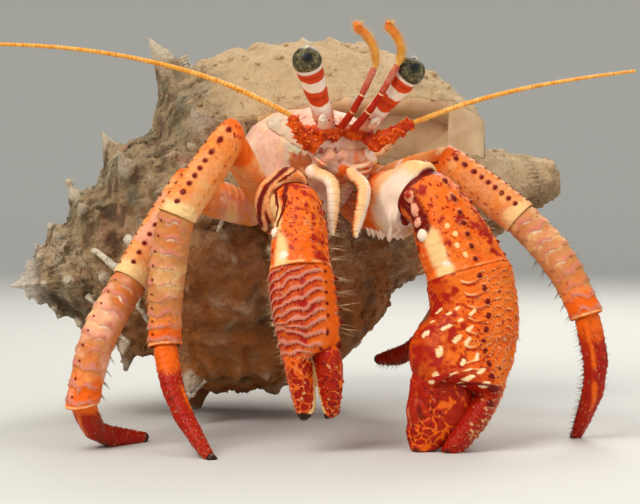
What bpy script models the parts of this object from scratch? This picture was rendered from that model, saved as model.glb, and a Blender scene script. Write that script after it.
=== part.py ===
"""A red striated hermit crab carrying a spiny murex shell: a still, life-size model.

The crab faces -Y, its head a little to +X. +X is the crab's left and +Z is up.
Sizes are in millimetres and angles in degrees until finish() turns them to metres.
A direction is a heading (0 is straight ahead, 90 is to the crab's left) and a pitch
(90 is straight up). All of it rests on the floor, where Z is 0.
"""

import math

import bmesh
import bpy
from mathutils import Matrix, Vector

MM = 0.001
GAP = 0.3
TINY = 1e-5
FLOOR = Vector((0, 0, 0))
upward = Vector((0, 0, 1))

# The shell: its length from apex to canal, where it lies, and how its tube grows.
SHELL_LENGTH = 101.0
APEX = Vector((-54.4, 44.0, 22.8))
AXIS_HEADING = 98.5
AXIS_PITCH = 11.0
LIP_TURN = 42.0
GROWTH = 1.57
WHORLS = 7
TUBE_ALONG = 0.545
TUBE_OUT = 0.20
TUBE_DEEP = 0.14
TUBE_BACK = 0.23
TUBE_AHEAD = 0.31
BACK_POWER = 2.4
AHEAD_POWER = 1.75
CANAL_START = 0.62
CANAL_ROOT = 0.15
CANAL_TIP = 0.032
SHELL_WALL = 1.9
CAVITY_TURN = 118.0
LEAST_HOLLOW = 1.5
HOLLOW_DRAW = 1.12
LIP_CLEAR = 2.5
WHORL_CLEAR = 0.5
CAVITY_STEPS = 9
APEX_SPAN = 0.1
APEX_SLOPE = 0.45

# The spiny ribs of the shell, seven to a turn.
RIBS = 7
COLUMNS_PER_RIB = 6
ROWS = 30
ROW_DRAW = 1.25
RIB_SWELL = 0.05
SPINE_SWEEP = 0.3
SPINE_HALF_ROW = 0.52
SHOULDER_SPINE = 7.5
LOWER_SPINE = 3.6
SHOULDER = 0.74
LOWER_ROW = 0.3
HORN_RIB = 1
HORN = 9.5

# Spines that point down within this span and slope carry the shell, and reach the floor.
FOOT_SPAN = (0.25, 0.60)
FOOT_SLOPE = -0.86
FOOT_SUNK = 1.2

# The body: a turned-out line from tail to face, of widths, heights and centre heights.
BODY = Vector((-3.0, 34.0, 0.0))
BODY_HEADING = 17.0

COLOURS = {
    "shell_crust": ((0.34, 0.27, 0.19), 0.85),
    "shield_plate": ((0.62, 0.42, 0.27), 0.45),
    "soft_skin": ((0.66, 0.52, 0.40), 0.5),
    "banded_stalk": ((0.80, 0.30, 0.14), 0.35),
    "cornea": ((0.06, 0.07, 0.05), 0.15),
    "pale_plate": ((0.80, 0.66, 0.50), 0.45),
    "red_peduncle": ((0.60, 0.08, 0.04), 0.4),
    "yellow_feeler": ((0.78, 0.45, 0.10), 0.45),
    "orange_plate": ((0.80, 0.26, 0.07), 0.4),
    "leg_plate": ((0.82, 0.40, 0.19), 0.4),
    "red_finger": ((0.60, 0.05, 0.02), 0.35),
}

for old in list(bpy.data.objects):
    bpy.data.objects.remove(old, do_unlink=True)

parts = bpy.data.collections.new("hermit_crab")
cutters = bpy.data.collections.new("cutters")
for group in (parts, cutters):
    bpy.context.scene.collection.children.link(group)
root = bpy.data.objects.new("hermit_crab_origin", None)
parts.objects.link(root)


def material(name):
    """The Principled material of this name, made when it is first asked for."""
    found = bpy.data.materials.get(name)
    if found:
        return found
    colour, roughness = COLOURS[name]
    made = bpy.data.materials.new(name)
    made.use_nodes = True
    shader = made.node_tree.nodes["Principled BSDF"]
    shader.inputs["Base Color"].default_value = (*colour, 1.0)
    shader.inputs["Roughness"].default_value = roughness
    shader.inputs["Metallic"].default_value = 0.0
    return made


def heading(turn, pitch):
    """The unit vector of a heading and a pitch."""
    turn = math.radians(turn)
    pitch = math.radians(pitch)
    flat = math.cos(pitch)
    return Vector((math.sin(turn) * flat, -math.cos(turn) * flat, math.sin(pitch)))


def walk(start, runs):
    """The points reached from start by runs of (length, heading, pitch)."""
    points = [Vector(start)]
    for length, turn, pitch in runs:
        points.append(points[-1] + heading(turn, pitch) * length)
    return points


def through(values, t):
    """The value at t (0 to 1) of a smooth curve through evenly spaced values."""
    last = len(values) - 1
    place = min(max(t, 0.0), 1.0) * last
    i = min(int(place), last - 1)
    f = place - i
    a, b, c, d = (values[min(max(j, 0), last)] for j in (i - 1, i, i + 1, i + 2))
    bend = (a * 2 - b * 5 + c * 4 - d) * f**2 + (b * 3 - a - c * 3 + d) * f**3
    return (b * 2 + (c - a) * f + bend) * 0.5


def column(rows, index, t):
    """through() for one column of a list of tuples."""
    return through([row[index] for row in rows], t)


def finish(bm, name, colour, group=parts):
    """Make the object of a bmesh drawn in millimetres, and link it."""
    bmesh.ops.remove_doubles(bm, verts=bm.verts, dist=0.01)
    bmesh.ops.dissolve_degenerate(bm, edges=bm.edges, dist=0.001)
    bmesh.ops.recalc_face_normals(bm, faces=bm.faces)
    if bm.calc_volume(signed=True) < 0:
        bmesh.ops.reverse_faces(bm, faces=bm.faces)
    bmesh.ops.transform(bm, matrix=Matrix.Scale(MM, 4), verts=bm.verts)
    mesh = bpy.data.meshes.new(name)
    bm.to_mesh(mesh)
    bm.free()
    obj = bpy.data.objects.new(name, mesh)
    obj.parent = root
    group.objects.link(obj)
    if group is cutters:
        obj.hide_render = True
        obj.display_type = "WIRE"
        return obj
    mesh.materials.append(material(colour))
    mesh.shade_smooth()
    mesh.set_sharp_from_angle(angle=math.radians(50))
    return obj


def skin_rings(bm, rings):
    """Faces between rings of points that match, with both ends closed."""
    loops = [[bm.verts.new(point) for point in ring] for ring in rings]
    for near, far in zip(loops, loops[1:]):
        for i in range(len(near)):
            j = (i + 1) % len(near)
            bm.faces.new((near[i], near[j], far[j], far[i]))
    bm.faces.new(loops[0])
    bm.faces.new(loops[-1])
    return loops


def trim(bm, point, normal):
    """Cut away what lies beyond a plane, and close the cut."""
    cut = bmesh.ops.bisect_plane(
        bm,
        geom=bm.verts[:] + bm.edges[:] + bm.faces[:],
        dist=TINY,
        plane_co=point,
        plane_no=normal,
        clear_outer=True,
    )
    edges = [item for item in cut["geom_cut"] if isinstance(item, bmesh.types.BMEdge)]
    if edges:
        bmesh.ops.edgeloop_fill(bm, edges=edges)


def oval(centre, across, over, half_width, half_height, sides, power=2.0):
    """One ring: a rounded oval in the plane of two unit vectors."""
    ring = []
    for i in range(sides):
        angle = 2 * math.pi * (i + 0.5) / sides
        x = math.copysign(abs(math.cos(angle)) ** (2 / power), math.cos(angle))
        y = math.copysign(abs(math.sin(angle)) ** (2 / power), math.sin(angle))
        ring.append(centre + across * (half_width * x) + over * (half_height * y))
    return ring


def frame_along(path, hint, t):
    """Centre, tangent, and the directions along and across the hint, at t."""
    step = 0.02
    centre = through(path, t)
    tangent = (through(path, min(t + step, 1)) - through(path, max(t - step, 0))).normalized()
    along = (hint - tangent * hint.dot(tangent)).normalized()
    return centre, tangent, along, along.cross(tangent)


def to_plane(ring, tangent, plane, shift):
    """Slide a ring's points along the tangent onto a plane, then off it by shift."""
    point, normal = plane
    slope = tangent.dot(normal)
    return [p + tangent * ((point - p).dot(normal) / slope) + normal * shift for p in ring]


def limb_piece(name, path, sizes, hint, colour, planes=(None, None), count=6, sides=8):
    """A piece of limb: ovals of (width along the hint, width across it) on a path.

    planes are those of the joints at its two ends, which the next pieces share. The
    faces stay half a gap from them.
    """
    rings = []
    for step in range(count):
        t = step / (count - 1)
        centre, tangent, along, across = frame_along(path, hint, t)
        half_a = column(sizes, 0, t) / 2
        half_b = column(sizes, 1, t) / 2
        ring = oval(centre, along, across, half_a, half_b, sides)
        if step == 0 and planes[0]:
            ring = to_plane(ring, tangent, planes[0], -GAP)
        if step == count - 1 and planes[1]:
            ring = to_plane(ring, tangent, planes[1], GAP)
        rings.append(ring)
    bm = bmesh.new()
    skin_rings(bm, rings)
    for plane, outward in zip(planes, (-1, 1)):
        if plane:
            point, normal = plane
            trim(bm, point - normal * (outward * GAP / 2), normal * outward)
    trim(bm, FLOOR, -upward)
    return finish(bm, name, colour)


def joint_plane(point, before, after):
    """The plane that halves the bend between two directions."""
    return point, (before.normalized() + after.normalized()).normalized()


def limb(prefix, start, hint, segments):
    """A row of jointed pieces, each (name, runs, sizes, colour)."""
    paths = []
    for _, runs, _, _ in segments:
        paths.append(walk(start, runs))
        start = paths[-1][-1]
    joints = [None]
    for near, far in zip(paths, paths[1:]):
        joints.append(joint_plane(far[0], near[-1] - near[-2], far[1] - far[0]))
    joints.append(None)
    for i, (name, _, sizes, colour) in enumerate(segments):
        limb_piece(f"{prefix}_{name}", paths[i], sizes, hint, colour, joints[i : i + 2])
    return paths


def cut_away(body, cutter):
    """Take a cutter's shape out of a body."""
    cut = body.modifiers.new(cutter.name, "BOOLEAN")
    cut.operation = "DIFFERENCE"
    cut.object = cutter


def socket(bodies, limb_obj):
    """Hollow the bodies round a limb's root, with a gap all round it."""
    graph = bpy.context.evaluated_depsgraph_get()
    swollen = bpy.data.meshes.new_from_object(limb_obj.evaluated_get(graph))
    bm = bmesh.new()
    bm.from_mesh(swollen)
    bpy.data.meshes.remove(swollen)
    bmesh.ops.transform(bm, matrix=limb_obj.matrix_basis, verts=bm.verts)
    bmesh.ops.transform(bm, matrix=Matrix.Scale(1 / MM, 4), verts=bm.verts)
    bm.normal_update()
    shifts = {vert: vert.normal * GAP for vert in bm.verts}
    for vert, shift in shifts.items():
        vert.co += shift
    cutter = finish(bm, f"socket_{limb_obj.name}", None, cutters)
    for body in bodies:
        cut_away(body, cutter)


# ---------------------------------------------------------------- the shell

shell_axis = heading(AXIS_HEADING, AXIS_PITCH)
shell_up = (Vector((0, 0, 1)) - shell_axis * shell_axis.z).normalized()
shell_front = shell_axis.cross(shell_up)


def tube_bulge(x):
    """How full the tube is, 0 to 1, from its edge nearest the apex (-1) to the other (1)."""
    power = BACK_POWER if x < 0 else AHEAD_POWER
    return max(0.0, 1 - abs(x) ** power) ** (1 / power)


def whorl_radius(u, back, first=0):
    """The tube's outer radius at u (0 to 1 along the shell), back degrees from the lip."""
    best = 0.0
    for whorl in range(first, WHORLS):
        size = GROWTH ** -(back / 360 + whorl)
        x = u / size - TUBE_ALONG
        x /= TUBE_BACK if x < 0 else TUBE_AHEAD
        if abs(x) < 1:
            best = max(best, size * (TUBE_OUT + TUBE_DEEP * tube_bulge(x)))
    return best * SHELL_LENGTH


def shell_radius(u, back):
    """whorl_radius() with the canal's cone and the apex added."""
    fade = max(0.0, u - CANAL_START) / (1 - CANAL_START)
    canal = (CANAL_ROOT * (1 - fade) + CANAL_TIP * fade) * min(u / CANAL_START, 1.0)
    apex = APEX_SLOPE * u * (u < APEX_SPAN)
    return max(whorl_radius(u, back), canal * SHELL_LENGTH, apex * SHELL_LENGTH)


def shell_point(u, back, radius):
    """The point at u along the axis, back degrees from the lip, at this radius."""
    turn = math.radians(LIP_TURN - back)
    out = shell_up * math.cos(turn) + shell_front * math.sin(turn)
    return APEX + shell_axis * (u * SHELL_LENGTH) + out * radius


def shell_spine(column_index, row_u, columns):
    """How far a grid point of the shell stands out as a spine."""
    steps_back = columns - column_index
    if steps_back % COLUMNS_PER_RIB:
        return 0.0
    best = 0.0
    half_row = SPINE_HALF_ROW / ROWS
    for whorl in range(WHORLS):
        rib = steps_back // COLUMNS_PER_RIB + whorl * RIBS
        size = GROWTH ** -(rib / RIBS)
        shoulder = (TUBE_ALONG - SHOULDER * TUBE_BACK) * size
        if abs(row_u - shoulder) < half_row * max(1.2 * size, 0.35):
            tall = HORN if rib == HORN_RIB else SHOULDER_SPINE
            best = max(best, tall * size)
        lower = (TUBE_ALONG + LOWER_ROW * TUBE_AHEAD) * size
        if whorl == 0 and abs(row_u - lower) < half_row:
            best = max(best, LOWER_SPINE * size)
    return best


def make_shell():
    columns = RIBS * COLUMNS_PER_RIB
    bm = bmesh.new()
    grid = []
    for c in range(columns + 1):
        back = 360 * (1 - c / columns)
        on_rib = (columns - c) % COLUMNS_PER_RIB == 0
        line = []
        for r in range(ROWS + 1):
            u = (r / ROWS) ** ROW_DRAW
            radius = shell_radius(u, back) * (1 + RIB_SWELL * on_rib)
            if r in (0, ROWS):
                radius = 0.0
            spine = shell_spine(c, u, columns)
            point = shell_point(u, back, radius + spine) - shell_axis * (spine * SPINE_SWEEP)
            out = (point - shell_point(u, back, 0)).normalized()
            if FOOT_SPAN[0] < u < FOOT_SPAN[1] and spine > 2 and out.z < FOOT_SLOPE:
                point += out * ((point.z + FOOT_SUNK) / -out.z)
            line.append(bm.verts.new(point))
        grid.append(line)
    for here, there in zip(grid, grid[1:] + grid[:1]):
        for r in range(ROWS):
            bm.faces.new((here[r], here[r + 1], there[r + 1], there[r]))
    bmesh.ops.remove_doubles(bm, verts=bm.verts, dist=0.02)
    trim(bm, FLOOR, -upward)
    return finish(bm, "shell", "shell_crust")


def hollow_at(x, back):
    """Where the hollow tube's bed and roof lie at x (-1 to 1 across the tube)."""
    size = GROWTH ** -(back / 360)
    u = (TUBE_ALONG + x * (TUBE_BACK if x < 0 else TUBE_AHEAD)) * size
    middle = TUBE_OUT * size * SHELL_LENGTH
    deep = TUBE_DEEP * tube_bulge(x * HOLLOW_DRAW) * size * SHELL_LENGTH - SHELL_WALL
    turn_before = whorl_radius(u, back, 1) * (1 + RIB_SWELL) + WHORL_CLEAR
    return u, max(middle - deep, turn_before), middle + deep


def open_edge(x, step, back):
    """The first x, from one edge of the tube inward, where the hollow is open."""
    while abs(x) <= 1:
        _, bed, roof = hollow_at(x, back)
        if roof - bed > LEAST_HOLLOW:
            return x
        x += step
    return 0.0


def cut_cavity(shell):
    """Hollow the last turn of the tube, over the outside of the turn before it."""
    bm = bmesh.new()
    rings = []
    across = CAVITY_STEPS
    for i in range(CAVITY_STEPS):
        back = -LIP_CLEAR + (CAVITY_TURN + LIP_CLEAR) * i / (CAVITY_STEPS - 1)
        first = open_edge(-1.0, 0.02, back)
        last = open_edge(1.0, -0.02, back)
        roof_line = []
        bed_line = []
        for k in range(across):
            x = first + (last - first) * (1 - math.cos(math.pi * k / (across - 1))) / 2
            u, bed, roof = hollow_at(x, back)
            roof_line.append(shell_point(u, back, roof))
            bed_line.append(shell_point(u, back, bed))
        rings.append(roof_line + bed_line[::-1])
    skin_rings(bm, rings)
    cut_away(shell, finish(bm, "shell_cavity", None, cutters))


# ---------------------------------------------------------------- the body

forward = heading(BODY_HEADING, 0)
sideways = heading(BODY_HEADING + 90, 0)


def body_point(ahead, left, up):
    """A point of the body: ahead of its middle, to the crab's left, above the floor."""
    return BODY + forward * ahead + sideways * left + upward * up


# (ahead, left, centre height, width, height) from the rear edge to the face.
TRUNK = (
    (-13.5, -1.0, 46.5, 10.0, 6.0),
    (-10.5, -0.5, 45.8, 17.0, 12.0),
    (-5.0, 0.0, 44.8, 20.5, 16.0),
    (1.5, 0.0, 44.2, 21.0, 18.0),
    (7.0, 0.5, 44.2, 17.5, 17.8),
    (11.0, 1.0, 44.8, 14.5, 15.5),
    (14.5, 1.5, 45.6, 12.5, 11.8),
    (17.0, 1.8, 46.2, 9.5, 7.6),
)
CHEST_TOP = 40.4
SHIELD_FLOOR = 47.6
CARAPACE_SPLIT = 1.5
BROW_TILT = 0.37

# The tail, in the shell's tube: the turns back from the lip that it fills, how far
# out it lies, and its half width and half depth at the lip's size of tube.
TAIL_STARTS = 24.0
TAIL_TURNS = 80.0
TAIL_OUT = 0.255
TAIL_ALONG = 0.525
TAIL_WIDE = 10.5
TAIL_DEEP = 5.6


def trunk_loft(swell=0.0):
    """The whole trunk from the rear of the carapace to the face."""
    bm = bmesh.new()
    rings = []
    for i, (ahead, left, up, width, height) in enumerate(TRUNK):
        ahead += swell * ((i == len(TRUNK) - 1) - (i == 0))
        centre = body_point(ahead, left, up)
        half_wide = width / 2 + swell
        half_tall = height / 2 + swell
        rings.append(oval(centre, sideways, upward, half_wide, half_tall, 14, 2.3))
    skin_rings(bm, rings)
    return bm


def trunk_piece(name, colour, cuts):
    """The trunk's loft with all but one part of it cut away."""
    bm = trunk_loft()
    for point, normal in cuts:
        trim(bm, point, normal)
    return finish(bm, name, colour)


def make_trunk():
    half = GAP / 2
    tilt = (upward + forward * BROW_TILT).normalized()
    chest = body_point(0, 0, CHEST_TOP)
    split = body_point(CARAPACE_SPLIT, 0, 0)
    brow = body_point(11, 0, SHIELD_FLOOR)
    thorax = trunk_piece("thorax", "soft_skin", [(chest - upward * half, upward)])
    above = (chest + upward * half, -upward)
    rear = trunk_piece(
        "carapace_rear", "soft_skin", [above, (split - forward * half, forward)]
    )
    front = (split + forward * half, -forward)
    shield = trunk_piece("shield", "shield_plate", [above, front, (brow + tilt * half, -tilt)])
    face = trunk_piece("face", "soft_skin", [above, front, (brow - tilt * half, tilt)])
    return thorax, rear, shield, face


def make_abdomen():
    """The soft tail, coiled up the shell's tube behind the carapace."""
    bm = bmesh.new()
    rings = []
    steps = 9
    for i in range(steps):
        t = i / (steps - 1)
        back = TAIL_STARTS + TAIL_TURNS * t
        size = GROWTH ** -(back / 360)
        turn = math.radians(LIP_TURN - back)
        out = shell_up * math.cos(turn) + shell_front * math.sin(turn)
        centre = shell_point(TAIL_ALONG * size, back, TAIL_OUT * size * SHELL_LENGTH)
        plump = math.sin(math.pi * (0.22 + 0.70 * t)) ** 0.6 * size
        rings.append(oval(centre, shell_axis, out, TAIL_WIDE * plump, TAIL_DEEP * plump, 12))
    skin_rings(bm, rings)
    return finish(bm, "abdomen", "soft_skin")


# ---------------------------------------------------------------- head pieces

EYES = {
    # side: (root, length, heading, pitch)
    "right": (Vector((1.2, 17.4, 49.2)), 12.6, -27, 56),
    "left": (Vector((6.6, 18.6, 49.2)), 12.8, 57, 45),
}
STALK_WIDE = 4.0
STALK_WAIST = 3.3
CORNEA = 4.5
CORNEA_SEAT = CORNEA * 0.36


def turned(name, colour, profile, start, direction):
    """A turned piece: (radius, height) points from its top down, set along a direction."""
    mesh = bpy.data.meshes.new(name)
    points = [(radius * MM, 0.0, height * MM) for radius, height in profile]
    edges = [(i, i + 1) for i in range(len(points) - 1)]
    mesh.from_pydata(points, edges, [])
    mesh.materials.append(material(colour))
    obj = bpy.data.objects.new(name, mesh)
    screw = obj.modifiers.new("turn", "SCREW")
    screw.steps = 14
    screw.render_steps = 14
    screw.use_merge_vertices = True
    screw.merge_threshold = 1e-6
    screw.use_smooth_shade = True
    obj.parent = root
    obj.location = start * MM
    obj.rotation_euler = direction.to_track_quat("Z", "Y").to_euler()
    parts.objects.link(obj)
    return obj


def make_eye(side):
    """A banded stalk, and the cornea that caps it."""
    start, length, turn, pitch = EYES[side]
    direction = heading(turn, pitch)
    reach = length - CORNEA_SEAT
    stalk = turned(
        f"eyestalk_{side}",
        "banded_stalk",
        [
            (0.0, reach),
            (STALK_WIDE * 0.45, reach),
            (STALK_WIDE * 0.5, reach * 0.88),
            (STALK_WAIST * 0.5, reach * 0.55),
            (STALK_WAIST * 0.52, reach * 0.25),
            (STALK_WAIST * 0.42, reach * 0.06),
            (STALK_WAIST * 0.25, 0.0),
            (0.0, 0.0),
        ],
        start,
        direction,
    )
    bm = bmesh.new()
    bmesh.ops.create_uvsphere(bm, u_segments=14, v_segments=10, radius=CORNEA / 2)
    bmesh.ops.scale(bm, vec=(1, 1, 1.04), verts=bm.verts)
    trim(bm, Vector((0, 0, GAP - CORNEA_SEAT)), -upward)
    turn_to = direction.to_track_quat("Z", "Y").to_matrix().to_4x4()
    place = Matrix.Translation(start + direction * length)
    bmesh.ops.transform(bm, matrix=place @ turn_to, verts=bm.verts)
    finish(bm, f"eye_{side}", "cornea")
    return stalk


# The small toothed plate at the root of each eyestalk: its two ends, from that root.
OCULAR_SCALES = {
    "right": (Vector((-0.6, -3.1, 0.1)), Vector((-0.9, -4.4, 2.2))),
    "left": (Vector((1.4, -2.9, 0.3)), Vector((2.8, -4.3, 1.8))),
}


def make_ocular_scale(side):
    start = EYES[side][0]
    path = [start + step for step in OCULAR_SCALES[side]]
    sizes = [(2.0, 0.9), (2.4, 1.0), (1.0, 0.7)]
    return limb_piece(f"ocular_scale_{side}", path, sizes, sideways, "pale_plate", count=5)


# Each antennule: root, then its peduncle and its curled, feathery whip.
ANTENNULES = {
    "right": (
        Vector((3.4, 15.6, 49.6)),
        [(5.0, 45, 45), (6.4, 62, 62)],
        [(2.4, -10, 60), (2.8, -62, 58), (2.4, -70, 34)],
    ),
    "left": (
        Vector((5.3, 15.2, 49.2)),
        [(5.9, 57, 45), (6.9, 68, 58)],
        [(2.2, 20, 64), (2.4, -60, 62), (2.2, -66, 44)],
    ),
}

# Each antenna: root, the peduncle, and the whip's runs, long and nearly level.
ANTENNAE = {
    "right": (
        Vector((-0.6, 16.4, 46.8)),
        [(3.0, -52, 26), (3.8, -64, 56)],
        [(12, -80, 24), (12, -78, 15), (12, -76, 8), (12, -76, 2), (11, -74, -2)],
    ),
    "left": (
        Vector((8.0, 17.2, 46.6)),
        [(3.7, 64, 28), (4.4, 92, 26)],
        [(9, 80, 19), (9, 70, 13), (9, 62, 8), (9.5, 56, 5)],
    ),
}


def feeler(name, runs, start, thick, thin, points=12):
    """A tapering thread along runs, as a solid tube."""
    path = walk(start, runs)
    curve = bpy.data.curves.new(name, "CURVE")
    curve.dimensions = "3D"
    curve.bevel_depth = MM
    curve.bevel_resolution = 1
    curve.use_fill_caps = True
    spline = curve.splines.new("POLY")
    spline.points.add(points - 1)
    for i, point in enumerate(spline.points):
        t = i / (points - 1)
        point.co = (*(through(path, t) * MM), 1.0)
        point.radius = (thick + (thin - thick) * t) / 2
    curve.materials.append(material("yellow_feeler"))
    obj = bpy.data.objects.new(name, curve)
    obj.parent = root
    parts.objects.link(obj)
    return obj


def beyond(path):
    """The place just past a path's end where its whip starts."""
    return path[-1] + (path[-1] - path[-2]).normalized() * (GAP * 1.6)


def make_feelers(side):
    """The antennule and the antenna of one side; returns their roots."""
    start, stem, whip = ANTENNULES[side]
    path = walk(start, stem)
    sizes = [(1.5, 1.5), (1.15, 1.15), (1.2, 1.2)]
    stem_obj = limb_piece(f"antennule_{side}", path, sizes, sideways, "red_peduncle", sides=6)
    feeler(f"antennule_whip_{side}", whip, beyond(path), 1.0, 1.5, 8)
    start, stem, whip = ANTENNAE[side]
    path = walk(start, stem)
    sizes = [(3.0, 2.6), (2.3, 2.1), (1.5, 1.4)]
    root_obj = limb_piece(f"antenna_{side}", path, sizes, upward, "red_peduncle", count=5)
    feeler(f"antenna_whip_{side}", whip, beyond(path), 1.0, 0.55, 18)
    return stem_obj, root_obj


MAXILLIPEDS = {
    "right": (Vector((-1.6, 17.2, 42.4)), [(6.4, 36, -18), (8.2, -8, -76)]),
    "left": (Vector((4.6, 17.6, 42.0)), [(6.2, 24, -22), (8.0, -42, -72)]),
}


def make_maxilliped(side):
    start, runs = MAXILLIPEDS[side]
    path = walk(start, runs)
    sizes = [(2.6, 2.4), (2.4, 2.0), (2.2, 1.8), (1.2, 1.2)]
    return limb_piece(f"maxilliped_{side}", path, sizes, sideways, "pale_plate", count=9)


# ---------------------------------------------------------------- claws

# The line between the fingers drifts to the hand's middle as it nears their tips.
SPLIT_DRIFT = 0.6
FINGER_GAP = GAP * 1.5
FINGER_STARTS = 0.35
DACTYL_STARTS = 0.12

# Each claw: merus and carpus as (start, end, sizes), then the hand.
CLAWS = {
    "left": {
        "merus": ((5.6, 29.0, 38.0), (15.2, 11.6, 37.3), [(6.0, 8.0), (6.6, 10.5), (7.2, 12.8)]),
        "carpus": (
            (17.2, 10.4, 39.4),
            (22.8, 7.0, 26.9),
            [(7.0, 7.6), (10.0, 9.0), (12.2, 9.6), (12.6, 9.4)],
        ),
        "hand": [(22.8, 7.0, 26.9), (23.6, 5.8, 19.0), (21.2, 4.0, 9.2), (15.6, 1.6, -0.8)],
        "dactyl_side": -1,
        "palm": [(4.9, 8.6), (6.3, 9.8), (6.9, 10.2), (6.7, 9.6), (6.2, 8.6)],
        "hinge": 0.61,
        "split": 2.9,
        "finger_ends": (2.9, 2.4),
        "open": 0.0,
    },
    "right": {
        "merus": ((-4.2, 27.0, 37.1), (-5.2, 8.2, 36.6), [(5.0, 7.0), (5.8, 9.0), (6.4, 10.4)]),
        "carpus": (
            (-3.2, 7.0, 38.6),
            (-3.0, 1.6, 27.6),
            [(5.6, 6.4), (7.6, 7.6), (8.9, 8.0), (9.1, 7.8)],
        ),
        "hand": [(-3.0, 1.6, 27.6), (-2.2, 0.4, 20.5), (-0.9, 0.0, 13.0), (-0.2, -0.2, 5.2)],
        "dactyl_side": 1,
        "palm": [(4.2, 7.0), (4.8, 7.8), (4.8, 7.8), (4.7, 7.2), (4.5, 6.6)],
        "hinge": 0.56,
        "split": -0.1,
        "finger_ends": (2.7, 2.0),
        "open": 0.7,
    },
}


def hand_ring(path, t, low, high, thick, plane=None):
    """A ring of the hand between two edges, measured to the crab's left of its path."""
    centre, tangent, along, across = frame_along(path, Vector((1, 0, 0)), t)
    centre = centre + along * ((low + high) / 2)
    ring = oval(centre, along, across, (high - low) / 2, thick / 2, 12, 2.2)
    if plane:
        ring = to_plane(ring, tangent, plane, GAP / 2)
    return ring


def make_hand(side, claw, wrist_plane):
    """The palm with its fixed finger, and the moving finger beside it."""
    path = [Vector(point) for point in claw["hand"]]
    to_dactyl = claw["dactyl_side"]
    hinge = claw["hinge"]
    palm_rows = claw["palm"]

    def edges(t):
        """Outer half widths and thickness: the palm's, narrowing to the finger ends."""
        if t <= hinge:
            return column(palm_rows, 0, t / hinge), column(palm_rows, 1, t / hinge)
        f = (t - hinge) / (1 - hinge)
        wide, thick = palm_rows[-1]
        end_wide, end_thick = claw["finger_ends"]
        return wide + (end_wide - wide) * f**2, thick + (end_thick - thick) * f**1.5

    def split(t, sign):
        """The line between the fingers, half a gap and the opening to one side."""
        f = max(0.0, (t - hinge) / (1 - hinge))
        line = claw["split"] * (1 - SPLIT_DRIFT * f)
        return line + sign * (FINGER_GAP / 2 + claw["open"] * f)

    palm = bmesh.new()
    rings = []
    steps = 7
    fingers = 6
    for i in range(steps):
        t = hinge * i / (steps - 1)
        wide, thick = edges(t)
        rings.append(hand_ring(path, t, -wide, wide, thick, wrist_plane if i == 0 else None))
    dactyl_rings = []
    for i in range(fingers):
        t = hinge + (1 - hinge) * (i + FINGER_STARTS) / (fingers - 1 + FINGER_STARTS)
        wide, thick = edges(t)
        fixed_edge = split(t, -to_dactyl)
        low, high = sorted((-to_dactyl * wide, fixed_edge))
        rings.append(hand_ring(path, t, low, high, thick))
        t = hinge + (1 - hinge) * (DACTYL_STARTS + (1 - DACTYL_STARTS) * i / (fingers - 1))
        wide, thick = edges(t)
        low, high = sorted((to_dactyl * wide, split(t, to_dactyl)))
        dactyl_rings.append(hand_ring(path, t, low, high, thick))
    skin_rings(palm, rings)
    trim(palm, FLOOR, -upward)
    finish(palm, f"claw_{side}_palm", "orange_plate")
    dactyl = bmesh.new()
    skin_rings(dactyl, dactyl_rings)
    trim(dactyl, FLOOR, -upward)
    finish(dactyl, f"claw_{side}_dactyl", "red_finger")


def make_claw(side):
    claw = CLAWS[side]
    hint = Vector((1, 0, 0))
    merus = [Vector(point) for point in claw["merus"][:2]]
    carpus = [Vector(point) for point in claw["carpus"][:2]]
    hand = [Vector(point) for point in claw["hand"]]
    elbow_at = (merus[1] + carpus[0]) / 2
    elbow = joint_plane(elbow_at, merus[1] - merus[0], carpus[1] - carpus[0])
    wrist = joint_plane(hand[0], carpus[1] - carpus[0], hand[1] - hand[0])
    name = f"claw_{side}"
    sizes = claw["carpus"][2]
    limb_piece(f"{name}_carpus", carpus, sizes, hint, "orange_plate", (elbow, wrist), 6, 12)
    make_hand(side, claw, wrist)
    sizes = claw["merus"][2]
    return limb_piece(f"{name}_merus", merus, sizes, hint, "pale_plate", (None, elbow), 6, 10)


# ---------------------------------------------------------------- walking legs

MERUS = [(5.4, 3.8), (7.4, 4.4), (7.0, 4.4)]
CARPUS = [(5.2, 4.4), (6.2, 4.8), (6.2, 4.8)]
PROPODUS = [(5.2, 4.4), (6.0, 4.6), (5.6, 4.4), (4.8, 4.0)]
DACTYL = [(4.3, 3.7), (4.1, 3.5), (3.4, 3.0), (1.5, 1.4)]

LEGS = {
    # name: (root, merus run, carpus run, propodus runs, dactyl runs)
    "leg_right2": (
        (-9.6, 23.0, 38.2),
        [(18.2, -16, 31)],
        [(14.8, -63, -53)],
        [(10.0, -112, -80), (10.1, -128, -88)],
        [(9.8, 26, -58), (12.2, 40, -42)],
    ),
    "leg_right3": (
        (-10.2, 28.0, 35.8),
        [(17.0, -44, 14)],
        [(17.8, -48, -54)],
        [(10.6, -46, -54), (10.5, -30, -68)],
        [(7.4, 156, -45), (9.4, 136, -8)],
    ),
    "leg_left2": (
        (7.8, 34.8, 40.0),
        [(19.6, 45, 11)],
        [(13.9, 74, -38)],
        [(9.7, 66, -46), (9.6, 52, -60)],
        [(9.8, 90, -81), (12.6, -151, -62)],
    ),
    "leg_left3": (
        (8.6, 40.5, 37.0),
        [(20.6, 49, -8)],
        [(10.7, -18, -67)],
        [(9.3, -165, -32), (9.3, -169, -24)],
        [(9.0, -153, -30), (8.4, -139, -12)],
    ),
}


def make_leg(name):
    start, merus, carpus, propodus, dactyl = LEGS[name]
    hint = Vector((0.6 if "left" in name else -0.6, -0.25, 0.75))
    limb(
        name,
        start,
        hint,
        [
            ("merus", merus, MERUS, "leg_plate"),
            ("carpus", carpus, CARPUS, "leg_plate"),
            ("propodus", propodus, PROPODUS, "leg_plate"),
            ("dactyl", dactyl, DACTYL, "red_finger"),
        ],
    )
    return parts.objects[f"{name}_merus"]


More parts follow.
